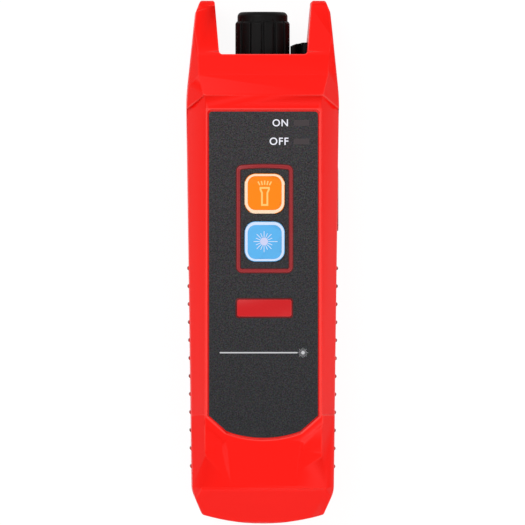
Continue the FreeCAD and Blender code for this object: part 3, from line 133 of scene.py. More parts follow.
def only(piece):
    """Select one piece and make it the active one."""
    if bpy.context.object and bpy.context.object.mode != "OBJECT":
        bpy.ops.object.mode_set(mode="OBJECT")
    bpy.ops.object.select_all(action="DESELECT")
    piece.select_set(True)
    bpy.context.view_layer.objects.active = piece
    return piece


@contextmanager
def editing(piece, kind="VERT", chosen=None):
    """Edit a mesh with all of it selected, or only the elements that chosen() says yes to."""
    only(piece)
    bpy.ops.object.mode_set(mode="EDIT")
    bpy.ops.mesh.select_mode(type=kind)
    bpy.ops.mesh.select_all(action="DESELECT" if chosen else "SELECT")
    if chosen:
        bpy.ops.object.mode_set(mode="OBJECT")
        mesh = piece.data
        for element in {"VERT": mesh.vertices, "EDGE": mesh.edges, "FACE": mesh.polygons}[kind]:
            element.select = chosen(element)
        bpy.ops.object.mode_set(mode="EDIT")
    yield
    bpy.ops.object.mode_set(mode="OBJECT")


# %% Helpers for settling and finishing a piece
def settle(piece, name):
    """Name a piece and write its place into its mesh, so its object sits at the origin."""
    only(piece)
    piece.name = name
    piece.data.name = name
    bpy.ops.object.transform_apply(location=True, rotation=True, scale=True)
    return piece


def finish_modifiers(piece):
    """Apply every modifier of a piece, in order."""
    only(piece)
    for modifier in list(piece.modifiers):
        bpy.ops.object.modifier_apply(modifier=modifier.name)
    return piece


def smooth(piece, degrees=35):
    """Shade smoothly across shallow angles and keep the sharper edges crisp."""
    only(piece)
    bpy.ops.object.shade_smooth_by_angle(angle=math.radians(degrees))
    return piece


def ride(piece, body, material):
    """Give a finished piece its body, if it has only one, and its material."""
    piece.data.materials.clear()
    piece.data.materials.append(material)
    if body:
        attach(piece, body)
    print(f"{piece.name}: {len(piece.data.polygons)} faces, on {body or 'two bodies'}")
    return piece


# %% [markdown]
# ## Shader groups
#
# Several finishes share the same effects: a fine moulded grain, a slight
# unevenness of colour, and edges that have been handled. Each effect is a
# node group that is built once, with inputs for its scale and strength, and
# is then placed in every material that needs it. Copying the same nodes into
# each material would look the same, but every change would have to be made
# many times.

# %% Helpers for node trees
def opaque(color):
    """A colour of three numbers with full opacity; a node's output is passed on as it is."""
    return color if isinstance(color, bpy.types.NodeSocket) else (*color, 1)


def add(tree, kind, inputs=None, **properties):
    """Add a node; inputs maps a socket to a value or to the output that feeds it."""
    node = tree.nodes.new("ShaderNode" + kind)
    for name, value in properties.items():
        setattr(node, name, value)
    for socket, value in (inputs or {}).items():
        if isinstance(value, bpy.types.NodeSocket):
            tree.links.new(value, node.inputs[socket])
        else:
            node.inputs[socket].default_value = value
    return node


def math_node(tree, operation, *values):
    """A Math node; its values are numbers or outputs of other nodes."""
    return add(tree, "Math", dict(enumerate(values)), operation=operation).outputs[0]


def mix_color(tree, factor, first, second):
    """Blend two colours; each is a colour or the output that gives it."""
    inputs = {0: factor, 6: opaque(first), 7: opaque(second)}
    return add(tree, "Mix", inputs, data_type="RGBA").outputs[2]


def new_group(name, inputs, outputs):
    """An empty shader group. Inputs map a name to (kind, default), outputs map it to a kind."""
    group = bpy.data.node_groups.new(name, "ShaderNodeTree")
    new_socket = group.interface.new_socket
    for socket_name, (kind, default) in inputs.items():
        new_socket(socket_name, in_out="INPUT", socket_type="NodeSocket" + kind).default_value = default
    for socket_name, kind in outputs.items():
        new_socket(socket_name, in_out="OUTPUT", socket_type="NodeSocket" + kind)
    print(f"group {name}: takes {', '.join(inputs)}; gives {', '.join(outputs)}")
    return group, group.nodes.new("NodeGroupInput").outputs, group.nodes.new("NodeGroupOutput").inputs


# %% [markdown]
# The grain of a mould is a very fine unevenness of the surface, too fine to
# model. Two sizes of noise are added up and fed to a Bump node, because one
# size alone looks like a regular pattern.

# %% Moulded grain
BROAD_SHARE = 0.31

grain, given, result = new_group(
    "moulded_grain",
    {"Scale": ("Float", 2200.0), "Strength": ("Float", 0.2), "Depth": ("Float", 0.05 * MM)},
    {"Normal": "Vector"},
)
place = add(grain, "TexCoord").outputs["Object"]
fine = add(grain, "TexNoise", {"Vector": place, "Scale": given["Scale"], "Detail": 3.0, "Roughness": 0.6})
broad_scale = math_node(grain, "MULTIPLY", given["Scale"], BROAD_SHARE)
broad = add(grain, "TexNoise", {"Vector": place, "Scale": broad_scale, "Detail": 2.0})
height = math_node(grain, "ADD", fine.outputs["Fac"], broad.outputs["Fac"])
bump = add(grain, "Bump", {"Height": height, "Strength": given["Strength"], "Distance": given["Depth"]})
grain.links.new(bump.outputs["Normal"], result["Normal"])

# %% [markdown]
# No moulding has quite the same colour and gloss all over. A slow cloud of
# noise, a centimetre or two wide, shifts both a little at the same places.

# %% Uneven tone
tone, given, result = new_group(
    "uneven_tone",
    {
        "Color": ("Color", (0.5, 0.5, 0.5, 1)),
        "Drift": ("Float", 0.06),
        "Scale": ("Float", 60.0),
        "Roughness": ("Float", 0.45),
        "Spread": ("Float", 0.08),
    },
    {"Color": "Color", "Roughness": "Float"},
)
place = add(tone, "TexCoord").outputs["Object"]
cloud = add(tone, "TexNoise", {"Vector": place, "Scale": given["Scale"], "Detail": 4.0}).outputs["Fac"]
centred = math_node(tone, "SUBTRACT", cloud, 0.5)
factor = math_node(tone, "MULTIPLY_ADD", centred, given["Drift"], 1.0)
shade = add(tone, "VectorMath", {0: given["Color"], "Scale": factor}, operation="SCALE")
gloss = math_node(tone, "MULTIPLY_ADD", centred, given["Spread"], given["Roughness"])
tone.links.new(shade.outputs[0], result["Color"])
tone.links.new(gloss, result["Roughness"])

# %% [markdown]
# Edges are painted paler. On most finishes this is the wear of fingers and
# pockets; on the red plastic, where the paler colour is strong and reaches
# further, it is a painted highlight along the rounded rims. A Bevel node
# gives the normal that the surface would have if its edges were rounder, so
# wherever that differs from the true normal there is an edge. Pointiness
# would be cheaper, but it is blotchy on large flat faces, which have few
# corners.

# %% Worn edges and painted edge highlights
FLAT = 0.99
FULL_EDGE = 0.8
LEAST_EDGE_MARK = 0.4

wear_and_highlight_group, given, result = new_group(
    "edge_wear_and_highlight",
    {
        "Color": ("Color", (0.5, 0.5, 0.5, 1)),
        "Wear And Highlight Color": ("Color", (0.8, 0.8, 0.8, 1)),
        "Amount": ("Float", 0.3),
        "Radius": ("Float", 0.4 * MM),
    },
    {"Color": "Color"},
)
true_normal = add(wear_and_highlight_group, "NewGeometry").outputs["Normal"]
rounded = add(wear_and_highlight_group, "Bevel", {"Radius": given["Radius"]}, samples=4).outputs["Normal"]
agree = add(wear_and_highlight_group, "VectorMath", {0: true_normal, 1: rounded}, operation="DOT_PRODUCT").outputs["Value"]
edge = add(wear_and_highlight_group, "MapRange", {"Value": agree, "From Min": FLAT, "From Max": FULL_EDGE}).outputs["Result"]
place = add(wear_and_highlight_group, "TexCoord").outputs["Object"]
patch = add(wear_and_highlight_group, "TexNoise", {"Vector": place, "Scale": 400.0, "Detail": 3.0}).outputs["Fac"]
uneven = math_node(wear_and_highlight_group, "MULTIPLY_ADD", patch, 1 - LEAST_EDGE_MARK, LEAST_EDGE_MARK)
mask = math_node(wear_and_highlight_group, "MULTIPLY", math_node(wear_and_highlight_group, "MULTIPLY", edge, uneven), given["Amount"])
wear_and_highlight_group.links.new(mix_color(wear_and_highlight_group, mask, given["Color"], given["Wear And Highlight Color"]), result["Color"])

# %% [markdown]
# ## A finish from the groups
#
# Every moulded, painted or metal part starts from the same few nodes: its
# colour passes through the uneven tone and the paler edges, which are wear
# and, on the red plastic, a painted highlight, and the grain feeds its
# normal. What makes one finish differ from the next is the colour, the
# gloss and the grain's size, so one function builds them all.

# %% One function for most finishes
def finish(name, color, roughness=0.45, wear_and_highlight_color=(0.8, 0.8, 0.8), amount=0.25, grain_scale=2200.0,
           grain_strength=0.15, drift=0.06, spread=0.1, shine=0.15, edge_reach=0.4, also=None):
    """A material for one finish; also gives plain values to sockets of the Principled BSDF."""
    material = bpy.data.materials.new(name)
    material.use_nodes = True
    tree = material.node_tree
    toned = {"Color": opaque(color), "Drift": drift, "Roughness": roughness, "Spread": spread}
    toned = add(tree, "Group", toned, node_tree=tone).outputs
    edged = {"Color": toned["Color"], "Wear And Highlight Color": opaque(wear_and_highlight_color), "Amount": amount, "Radius": edge_reach * MM}
    edged = add(tree, "Group", edged, node_tree=wear_and_highlight_group).outputs
    grained = add(tree, "Group", {"Scale": grain_scale, "Strength": grain_strength}, node_tree=grain).outputs
    surface = tree.nodes["Principled BSDF"].inputs
    tree.links.new(edged["Color"], surface["Base Color"])
    tree.links.new(toned["Roughness"], surface["Roughness"])
    tree.links.new(grained["Normal"], surface["Normal"])
    for socket, value in {"Specular IOR Level": shine, **(also or {})}.items():
        surface[socket].default_value = value
    print(f"finish {name}: roughness {roughness}, shine {shine}")
    return material


def recolor(material, build):
    """Feed the tone group's colour from nodes that build(tree) makes."""
    tree = material.node_tree
    toned = next(node for node in tree.nodes if node.type == "GROUP" and node.node_tree == tone)
    tree.links.new(build(tree), toned.inputs["Color"])
    return material


def coordinates(tree):
    """The three Object coordinates, in millimetres."""
    place = add(tree, "TexCoord").outputs["Object"]
    scaled = add(tree, "VectorMath", {0: place, "Scale": 1 / MM}, operation="SCALE").outputs[0]
    return add(tree, "SeparateXYZ", {0: scaled}).outputs


# %% [markdown]
# ## The red housing's plastic
#
# The two mouldings are a glossy red plastic, and the grips on them are
# coloured a dark red: twelve ribs on each flank and one long pad on the
# right. The grips stand a little proud of the tapering wall, so the material
# can tell them from the wall by how far a point lies from the middle, and no
# extra piece is needed.

# %% Dark grips on a red wall
RED = (0.96, 0.0065, 0.0025)
GRIP_RED = (0.05, 0.004, 0.004)
WALL_HALF = 25.5
WALL_WIDEST_Y = 55.2
WALL_TAPER = 0.01405
GRIP_STAND = 0.12
SHOULDER_Y = 40.0


def gripped_red(tree, x, y):
    """The dark grip colour where a point stands proud of the tapering wall, red elsewhere."""
    wall = math_node(tree, "MULTIPLY_ADD", y, WALL_TAPER, WALL_HALF - WALL_TAPER * WALL_WIDEST_Y)
    stand = math_node(tree, "SUBTRACT", math_node(tree, "ABSOLUTE", x), wall)
    proud = math_node(tree, "GREATER_THAN", stand, GRIP_STAND)
    below_shoulder = math_node(tree, "LESS_THAN", y, SHOULDER_Y)
    return mix_color(tree, math_node(tree, "MULTIPLY", proud, below_shoulder), RED, GRIP_RED)


# %% [markdown]
# A narrow rim runs round the recess of the dark face, and a paler red is
# painted on it: a painted highlight, the line of light that its rounded edge
# catches. How far a point lies outside the recess is the largest of four
# distances: beside it, above it, past its slanted lower corners and below its
# bowed foot.

# %% Painted highlight on the rim round the recess
RIM_HIGHLIGHT_RED = (1.0, 0.04, 0.034)
RIM_LEVEL = 31.9
RIM_WIDTH = 0.6
RECESS_HALF = 18.7
RECESS_TOP = 50.8
RECESS_CORNER = 51.5
RECESS_FOOT = 59.1
FOOT_BOW = 0.0146
CORNER_ACROSS = 0.66
CORNER_ALONG = 0.75


def recess_rim(tree, x, y, z):
    """One on the narrow rim round the recess, nought elsewhere."""
    beside = math_node(tree, "SUBTRACT", math_node(tree, "ABSOLUTE", x), RECESS_HALF)
    above = math_node(tree, "SUBTRACT", y, RECESS_TOP)
    past_corner = math_node(tree, "MULTIPLY_ADD", y, -CORNER_ALONG, -CORNER_ALONG * RECESS_CORNER)
    slanted = math_node(tree, "MULTIPLY_ADD", beside, CORNER_ACROSS, past_corner)
    bowed = math_node(tree, "MULTIPLY_ADD", math_node(tree, "MULTIPLY", x, x), FOOT_BOW, -RECESS_FOOT)
    outside = math_node(tree, "MAXIMUM", beside, above)
    for distance in (slanted, math_node(tree, "SUBTRACT", bowed, y)):
        outside = math_node(tree, "MAXIMUM", outside, distance)
    near = math_node(tree, "LESS_THAN", outside, RIM_WIDTH)
    return math_node(tree, "MULTIPLY", near, math_node(tree, "GREATER_THAN", z, RIM_LEVEL))


# %% [markdown]
# Where the two mouldings meet there is a fine dark line of painted shade. It
# is a band of darker red at the height of the joint that stands for the
# shadow inside the gap, because a real gap of a tenth of a millimetre would be
# too narrow to see into.

# %% Red plastic
# The seam's colour is painted shade.
SEAM_SHADOW_RED = (0.16, 0.004, 0.003)
SEAM_HEIGHT = 16.0
SEAM_HALF = 0.17


def housing_red(tree):
    """The red wall with its grips, the painted highlight on its rim and the painted shade along the line where
    the mouldings meet.
    """
    x, y, z = coordinates(tree)
    # The paler red on the rim is a painted highlight.
    with_rim_highlight = mix_color(tree, recess_rim(tree, x, y, z), gripped_red(tree, x, y), RIM_HIGHLIGHT_RED)
    # The band at the joint is painted shade.
    from_seam = math_node(tree, "ABSOLUTE", math_node(tree, "SUBTRACT", z, SEAM_HEIGHT))
    return mix_color(tree, math_node(tree, "LESS_THAN", from_seam, SEAM_HALF), with_rim_highlight, SEAM_SHADOW_RED)


# The red plastic's paler edges, strong and 0.8 mm wide, are a painted highlight along its rounded rims.
red_plastic = finish("red_plastic", RED, 0.36, wear_and_highlight_color=(1.0, 0.14, 0.12), amount=0.9, grain_scale=3200,
                     grain_strength=0.07, drift=0.05, spread=0.1, shine=0.13, edge_reach=0.8)
recolor(red_plastic, housing_red)

# %% [markdown]
# ## Rounded mouldings
#
# The measured mouldings have crisp edges, but a moulded part never does: a
# small radius catches a line of light along every rim. A bevel on every
# sharp edge would fail in the corners of ribs and pockets, so the bevel is
# driven by edge weights. An edge is rounded only if it turns outwards, if
# nothing lies in front of it, and if the edges that meet it leave it enough
# room. A wide rounding goes first, and a narrow one then takes the edges
# that had too little room for it.

# %% Find the edges that are open to view
LIFT = 0.05


def open_to_view(form, degrees):
    """The sharp edges that turn outwards and have nothing in front of them."""
    solid = BVHTree.FromBMesh(form)
    found = set()
    for edge in form.edges:
        if not edge.is_manifold or not edge.is_convex or edge.calc_face_angle() < math.radians(degrees):
            continue
        outward = (edge.link_faces[0].normal + edge.link_faces[1].normal).normalized()
        middle = (edge.verts[0].co + edge.verts[1].co) / 2
        if solid.ray_cast(middle + outward * LIFT * MM, outward)[0] is None:
            found.add(edge)
    return found


# %% [markdown]
# A bevel slides along the edges that meet it, so it can be no wider than
# they are long. Where the far end of such an edge is rounded as well, only
# half of its length is left, and an edge that meets at a slant gives less
# room than one that meets squarely.

# %% Measure the room beside an edge
MOST_ROOM = 9.0
SLACK = 0.1
WHOLE_EDGE = 0.9
SHARED_EDGE = 0.45
IN_LINE = 0.02
GENTLE_TURN = 0.35


def room_beside(edge, chosen):
    """How far an edge can be rounded before the edges that meet it run out, in millimetres."""
    along = (edge.verts[1].co - edge.verts[0].co).normalized()
    room = MOST_ROOM
    for corner in edge.verts:
        for other in corner.link_edges:
            reach = other.other_vert(corner).co - corner.co
            sine = reach.normalized().cross(along).length
            if other is edge or sine < IN_LINE or (other in chosen and sine < GENTLE_TURN):
                continue
            shared = any(near in chosen for near in other.other_vert(corner).link_edges)
            share = SHARED_EDGE if shared else WHOLE_EDGE
            room = min(room, (reach.length / MM * share + SLACK) * sine)
    return room


# %% [markdown]
# Even so, a few roundings fold over in tight corners. They are found by
# their faces, which look the other way from the surface that they came from.
# The edges near such a fold then lose their weight, and the rounding is made
# again from the crisp mesh.

# %% Find folds, and weigh the edges clear of them
CLEAR_OF_FOLD = 0.5
OPPOSED = -0.1


def folds(mesh, surface):
    """Where a face looks the other way from the surface that it was made from."""
    found = []
    for face in mesh.polygons:
        normal = surface.find_nearest(face.center)[1]
        if face.normal.dot(normal) < OPPOSED:
            found.append(face.center.copy())
    return found


def touches(spots, edge):
    """Whether an edge passes near one of the spots where an earlier rounding folded over."""
    start = edge.verts[0].co
    span = edge.verts[1].co - start
    for spot in spots:
        share = max(0.0, min(1.0, (spot - start).dot(span) / span.length_squared))
        if (start + span * share - spot).length < CLEAR_OF_FOLD * MM:
            return True
    return False


def weigh_edges(mesh, degrees, width, skip, spots):
    """Weight the outer edges that have room for a rounding of this width."""
    form = bmesh.new()
    form.from_mesh(mesh)
    layers = form.edges.layers.float
    weights = layers.get("bevel_weight_edge") or layers.new("bevel_weight_edge")
    chosen = open_to_view(form, degrees)
    weighted = 0
    for edge in form.edges:
        place = (edge.verts[0].co + edge.verts[1].co) / 2 / MM
        fits = edge in chosen and not skip(place, width) and room_beside(edge, chosen) > width
        fits = fits and not touches(spots, edge)
        edge[weights] = 1.0 if fits else 0.0
        weighted += fits
    form.to_mesh(mesh)
    form.free()
    return weighted


# %% [markdown]
# The measured meshes themselves are never changed, so a rounded piece starts
# as a copy. A measured mesh is loose triangles: its doubled corners are
# merged and its flat faces joined, because a bevel needs the real edges of
# the part and not the seams between triangles.

# %% Copy a measured part
SAME_POINT = 2e-6  # metres
SAME_PLANE = 0.02
NEARLY_FLAT = 8


def loose_copy(node, name):
    """A copy of a measured part as one merged mesh, with its flat faces joined."""
    source = frame["nodes"][node]
    piece = source.copy()
    piece.data = source.data.copy()
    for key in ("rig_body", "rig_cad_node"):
        if key in piece:
            del piece[key]
    piece.parent = None
    bpy.context.scene.collection.objects.link(piece)
    settle(piece, name)
    with editing(piece):
        bpy.ops.mesh.remove_doubles(threshold=SAME_POINT)
        bpy.ops.mesh.dissolve_limited(angle_limit=math.radians(SAME_PLANE))
        bpy.ops.mesh.tris_convert_to_quads(face_threshold=math.radians(NEARLY_FLAT), shape_threshold=math.pi)
    return piece


# %% Round the outer edges of a copy
TRIES = 6


def search_tree(mesh):
    """A mesh as a tree that finds its nearest face to any point."""
    form = bmesh.new()
    form.from_mesh(mesh)
    surface = BVHTree.FromBMesh(form)
    form.free()
    return surface


def round_edges(piece, width, degrees, skip):
    """Round the outer edges that have room for this width, without those that fold over."""
    crisp = piece.data.copy()
    surface = search_tree(crisp)
    spots = []
    for _ in range(TRIES):
        piece.data = crisp.copy()
        found = weigh_edges(piece.data, degrees, width, skip, spots)
        rounding = piece.modifiers.new("rounded edges", "BEVEL")
        rounding.width = width * MM
        rounding.segments = 3
        rounding.limit_method = "WEIGHT"
        rounding.use_clamp_overlap = False
        finish_modifiers(piece)
        folded = folds(piece.data, surface)
        print(f"{piece.name}: {found} edges rounded by {width} mm, {len(folded)} faces folded")
        if not folded:
            break
        spots += folded


def rounded_copy(node, name, widths, material, body, degrees=24, skip=lambda place, width: False):
    """A copy of a measured part whose outer edges are rounded, wide ones first."""
    piece = loose_copy(node, name)
    for width in widths:
        round_edges(piece, width, degrees, skip)
    smooth(piece, 32)
    piece.modifiers.new("flat faces stay flat", "WEIGHTED_NORMAL").keep_sharp = True
    finish_modifiers(piece)
    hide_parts(node)
    return ride(piece, body, material)


# %% [markdown]
# The front and rear mouldings get a rounding of 0.6 mm along their long
# rims and one of 0.25 mm on the rest. The ribs and the pad on the flanks
# stand only a fraction of a millimetre proud, so the wide rounding leaves
# them out.

# %% Front and rear mouldings
WIDE = 0.6
NARROW = 0.25
FLANK_X = 22.5
FLANK_Y = (-74, 33)
FLANK_Z = (6.5, 23)


def small_grips(place, width):
    """Keep the wide rounding off the ribs and the pad on the flanks."""
    along = FLANK_Y[0] < place.y < FLANK_Y[1]
    upright = FLANK_Z[0] < place.z < FLANK_Z[1]
    return abs(place.x) > FLANK_X and along and upright and width > NARROW


for node, name in (("front_shell", "front_moulding"), ("rear_shell", "rear_moulding")):
    rounded_copy(node, name, (WIDE, NARROW), red_plastic, "housing", skip=small_grips)

# %% [markdown]
# The battery door is a thin sheet of the same plastic that slides in the
# rear moulding's rails. It only takes the narrow rounding, and it rides on
# its own body, so that it moves in the poses.

# %% Battery door
rounded_copy("battery_door", "rounded_door", (NARROW,), red_plastic, "door")

# %% [markdown]
# ## The dark face
#
# A printed polycarbonate film lies in the recess of the front moulding. Its
# ink is a charcoal with fine pale and dark specks, and the material makes it
# slightly lighter towards the top. The frame round the keys is embossed and
# printed red, so the material finds it by its height. The film's own shape is
# flat and exact already, so the measured part stays and only gets this
# material.

# %% Film with sandy ink and a red frame
FILM_TOP = 32.0
FILM_LOW_Y = -56.0
FILM_HIGH_Y = 50.0
EMBOSSED = 0.05
INK_HIGH = (0.028, 0.026, 0.028)
INK_LOW = (0.0165, 0.0165, 0.0185)
FRAME_RED = (0.12, 0.003, 0.004)
SPECKS = {"Scale": 2600.0, "Detail": 2.0, "Roughness": 0.7}
SPECK_RANGE = {"From Min": 0.3, "From Max": 0.7, "To Min": 0.1, "To Max": 2.2}
TINTS = {"Scale": 1900.0, "Detail": 1.0}
TINT_GAIN = 1.3
TINT_LEAST = 0.35


def sandy_ink(tree):
    """Charcoal ink with specks; red where the film stands above its own face."""
    place = add(tree, "TexCoord").outputs["Object"]
    here = coordinates(tree)
    along = {"Value": here["Y"], "From Min": FILM_LOW_Y, "From Max": FILM_HIGH_Y}
    ink = mix_color(tree, add(tree, "MapRange", along).outputs["Result"], INK_LOW, INK_HIGH)
    speck = add(tree, "TexNoise", {"Vector": place, **SPECKS}).outputs["Fac"]
    contrast = add(tree, "MapRange", {"Value": speck, **SPECK_RANGE}).outputs["Result"]
    sandy = add(tree, "VectorMath", {0: ink, "Scale": contrast}, operation="SCALE").outputs[0]
    grains = add(tree, "TexNoise", {"Vector": place, **TINTS}).outputs["Color"]
    gained = {0: grains, 1: [TINT_GAIN] * 3, 2: [TINT_LEAST] * 3}
    tints = add(tree, "VectorMath", gained, operation="MULTIPLY_ADD").outputs[0]
    sandy = add(tree, "VectorMath", {0: sandy, 1: tints}, operation="MULTIPLY").outputs[0]
    raised = math_node(tree, "GREATER_THAN", here["Z"], FILM_TOP + EMBOSSED)
    return mix_color(tree, raised, sandy, FRAME_RED)


film = finish("printed_film", INK_LOW, 0.42, wear_and_highlight_color=(0.2, 0.2, 0.2), amount=0.1, grain_scale=2600,
              grain_strength=0.12, drift=0.1, spread=0.12)
frame["nodes"]["front_overlay"].material_slots[0].material = recolor(film, sandy_ink)

# %% [markdown]
# ## Flat outlines and thin slabs
#
# Most prints, rims and symbols are made in one way: a plane is scaled to its
# size, its corners are bevelled, an inset and a delete turn it into a
# line where one is needed, and a Solidify modifier gives it its height. They
# could be drawn in a material instead, but a print of real thickness keeps
# its crisp edge however near the camera comes.

# %% Helpers for plates and lines
def plate(name, x, y, width, length, corner=0.0, level=FILM_TOP):
    """A flat rectangle that faces up, with rounded corners."""
    bpy.ops.object.select_all(action="DESELECT")
    bpy.ops.mesh.primitive_plane_add(size=1, location=(x * MM, y * MM, level * MM))
    piece = bpy.context.object
    piece.scale = (width * MM, length * MM, 1)
    settle(piece, name)
    if corner:
        with editing(piece):
            bpy.ops.mesh.bevel(offset=corner * MM, segments=8, affect="VERTICES")
    return piece


def hollow(piece, line, shift=0.0):
    """Keep only a line of a flat outline; shift moves the opening along the tool."""
    with editing(piece):
        bpy.ops.mesh.inset(thickness=line * MM)
        bpy.ops.transform.translate(value=(0, shift * MM, 0))
        bpy.ops.mesh.delete(type="FACE")
    return piece


# %% Helpers for slabs, copies and joined pieces
def slab(piece, height, edge=0.0):
    """Raise a flat outline into a slab that stands on its own level, with softened top edges."""
    rise = piece.modifiers.new("slab", "SOLIDIFY")
    rise.thickness = height * MM
    rise.offset = 1.0
    if edge:
        softened = piece.modifiers.new("soft edges", "BEVEL")
        softened.width = edge * MM
        softened.segments = 2
        softened.angle_limit = math.radians(40)
    finish_modifiers(piece)
    return smooth(piece, 50)


def turned_copy(piece, turn, x=0.0, y=0.0):
    """A copy with its own mesh, turned about the upright axis and then moved."""
    twin = piece.copy()
    twin.data = piece.data.copy()
    bpy.context.scene.collection.objects.link(twin)
    twin.rotation_euler.z = turn
    twin.location = (x * MM, y * MM, 0)
    return settle(twin, piece.name + "_copy")


def joined(pieces, name):
    """Join pieces into the first one and name it."""
    only(pieces[0])
    for piece in pieces[1:]:
        piece.select_set(True)
    bpy.ops.object.join()
    pieces[0].name = name
    pieces[0].data.name = name
    return pieces[0]


# %% [markdown]
# ## The bead round the keys
#
# The embossed frame has a soft, rounded top. Its outline already exists on
# the measured film, so the bead starts as a copy of the film from which
# everything but the frame's top faces is deleted. They are joined and inset,
# and the margin is deleted, which leaves a narrower line that is raised a
# little and gets a rounded edge.

# %% Bead on the frame
FRAME_RISE = 0.15
BEAD_MARGIN = 0.3
BEAD_HEIGHT = 0.16
BEAD_EDGE = 0.12

bead = loose_copy("front_overlay", "key_frame")
frame_level = (FILM_TOP + FRAME_RISE) * MM
with editing(bead, "FACE", lambda face: face.center.z < frame_level):
    bpy.ops.mesh.delete(type="FACE")
    bpy.ops.mesh.select_all(action="SELECT")
    bpy.ops.mesh.remove_doubles(threshold=SAME_POINT)
    bpy.ops.mesh.dissolve_limited(angle_limit=math.radians(0.5))
    bpy.ops.mesh.select_all(action="SELECT")
    bpy.ops.mesh.inset(thickness=BEAD_MARGIN * MM)
    bpy.ops.mesh.select_all(action="INVERT")
    bpy.ops.mesh.delete(type="FACE")
slab(bead, BEAD_HEIGHT, BEAD_EDGE)
bead_red = finish("bead_red", (0.29, 0.02, 0.024), 0.35, wear_and_highlight_color=(0.8, 0.2, 0.2), amount=0.4)
ride(bead, "housing", bead_red)

# %% [markdown]
# ## The soft keys
#
# Each key is a silicone cap with a paler rim, which is the translucent edge
# that lights up in the dark. Silicone is matt and its colour is even, so
# both keys, their rims and their prints use the usual finish with little
# more than a colour of their own.

# %% Silicone finishes
orange = finish("orange_silicone", (0.95, 0.235, 0.004), 0.4, wear_and_highlight_color=(1.0, 0.5, 0.15), amount=0.2)
blue = finish("blue_silicone", (0.105, 0.44, 0.83), 0.4, wear_and_highlight_color=(0.5, 0.75, 1.0), amount=0.2)
peach = finish("orange_rim", (1.0, 0.72, 0.5), 0.42, amount=0.1)
pale_blue = finish("blue_rim", (0.62, 0.74, 0.95), 0.42, amount=0.1)
amber_print = finish("amber_print", (1.0, 0.58, 0.16), amount=0.1)
lavender_print = finish("lavender_print", (0.6, 0.63, 0.87), amount=0.1)
white_print = finish("white_print", (0.86, 0.86, 0.95), amount=0.1)

# %% [markdown]
# The cap is a rounded copy of the measured key. Its sides take the rim's
# colour and only its top the key's own. Its foot is lifted by a hair, so
# that it stays clear of the switch below when the key is pressed.

# %% Key caps
KEY_EDGE = 0.2
KEY_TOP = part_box("torch_key")[1][2] / MM
FOOT_ROOM = 0.03
FACING_UP = 0.99


def key_middle(node):
    """The middle of a key, in millimetres."""
    low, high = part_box(node)
    return (low[0] + high[0]) / 2 / MM, (low[1] + high[1]) / 2 / MM


def soft_cap(node, body, cap_material, side_material):
    """A rounded cap in two colours, the second for its sides."""
    cap = rounded_copy(node, node.replace("key", "cap"), (KEY_EDGE,), cap_material, body)
    cap.data.materials.append(side_material)
    foot = min(vertex.co.z for vertex in cap.data.vertices) + NEAR * MM
    with editing(cap, "VERT", lambda vertex: vertex.co.z < foot):
        bpy.ops.transform.translate(value=(0, 0, FOOT_ROOM * MM))
    for face in cap.data.polygons:
        on_top = face.normal.z > FACING_UP and face.center.z > (KEY_TOP - NEAR) * MM
        face.material_index = 0 if on_top else 1


# %% [markdown]
# The rim is a hollowed plate that follows the cap's outline. Its opening is
# shifted a little along the tool, because each rim is wider on the side
# towards the other key.

# %% Keys with their rims
RIM_SIDE = 13.05
RIM_CORNER = 3.5
RIM_LINE = 0.85
RIM_HEIGHT = 0.1
RIM_EDGE = 0.08
RIM_SHIFT = 0.17


def soft_key(node, body, cap_material, rim_material, shift):
    """A cap and its raised rim."""
    x, y = key_middle(node)
    soft_cap(node, body, cap_material, rim_material)
    rim = plate(node.replace("key", "rim"), x, y, RIM_SIDE, RIM_SIDE, RIM_CORNER, KEY_TOP)
    ride(slab(hollow(rim, RIM_LINE, shift), RIM_HEIGHT, RIM_EDGE), body, rim_material)


soft_key("torch_key", "torch_button", orange, peach, RIM_SHIFT)
soft_key("laser_key", "laser_button", blue, pale_blue, -RIM_SHIFT)

# %% [markdown]
# ## Symbols on the keys
#
# The upper key switches a small lamp on, so it carries the outline of a
# hand torch under five rays. One plane becomes the torch: its lower edge is
# extruded and drawn in for the neck, and extruded again for the handle.

# %% Helpers for a drawn outline
torch_x, torch_y = key_middle("torch_key")


def extend_down(piece, distance, width_factor):
    """Extrude the lowest edge of a flat outline downwards and change its width."""
    mesh = piece.data
    low = min(vertex.co.y for vertex in mesh.vertices) + NEAR * MM
    middle = (torch_x * MM, torch_y * MM, KEY_TOP * MM)
    with editing(piece, "EDGE", lambda edge: all(mesh.vertices[i].co.y < low for i in edge.vertices)):
        bpy.ops.mesh.extrude_region_move(TRANSFORM_OT_translate={"value": (0, -distance * MM, 0)})
        bpy.ops.transform.resize(value=(width_factor, 1, 1), center_override=middle)


def upright(piece):
    """Make a flat outline one face that looks up."""
    with editing(piece):
        bpy.ops.mesh.dissolve_limited(angle_limit=math.radians(1))
        bpy.ops.mesh.normals_make_consistent(inside=False)
    if piece.data.polygons[0].normal.z < 0:
        with editing(piece):
            bpy.ops.mesh.flip_normals()
    return piece


# %% Outline of a hand torch
HEAD_WIDTH = 3.4
HEAD_LENGTH = 0.9
HEAD_ABOVE = 1.75
NECK_LENGTH = 1.1
HANDLE_WIDTH = 2.4
HANDLE_LENGTH = 4.3
OUTLINE = 0.6
PRINT_HEIGHT = 0.06

hand_torch = plate("torch_symbol", torch_x, torch_y + HEAD_ABOVE, HEAD_WIDTH, HEAD_LENGTH, level=KEY_TOP)
extend_down(hand_torch, NECK_LENGTH, HANDLE_WIDTH / HEAD_WIDTH)
extend_down(hand_torch, HANDLE_LENGTH, 1.0)
slab(hollow(upright(hand_torch), OUTLINE), PRINT_HEIGHT)
print("torch outline:", len(hand_torch.data.polygons), "faces")

# %% [markdown]
# The five rays are one small bar, copied. Each copy leans a little more than
# the last and stands a little lower the further out it is, like a fan.

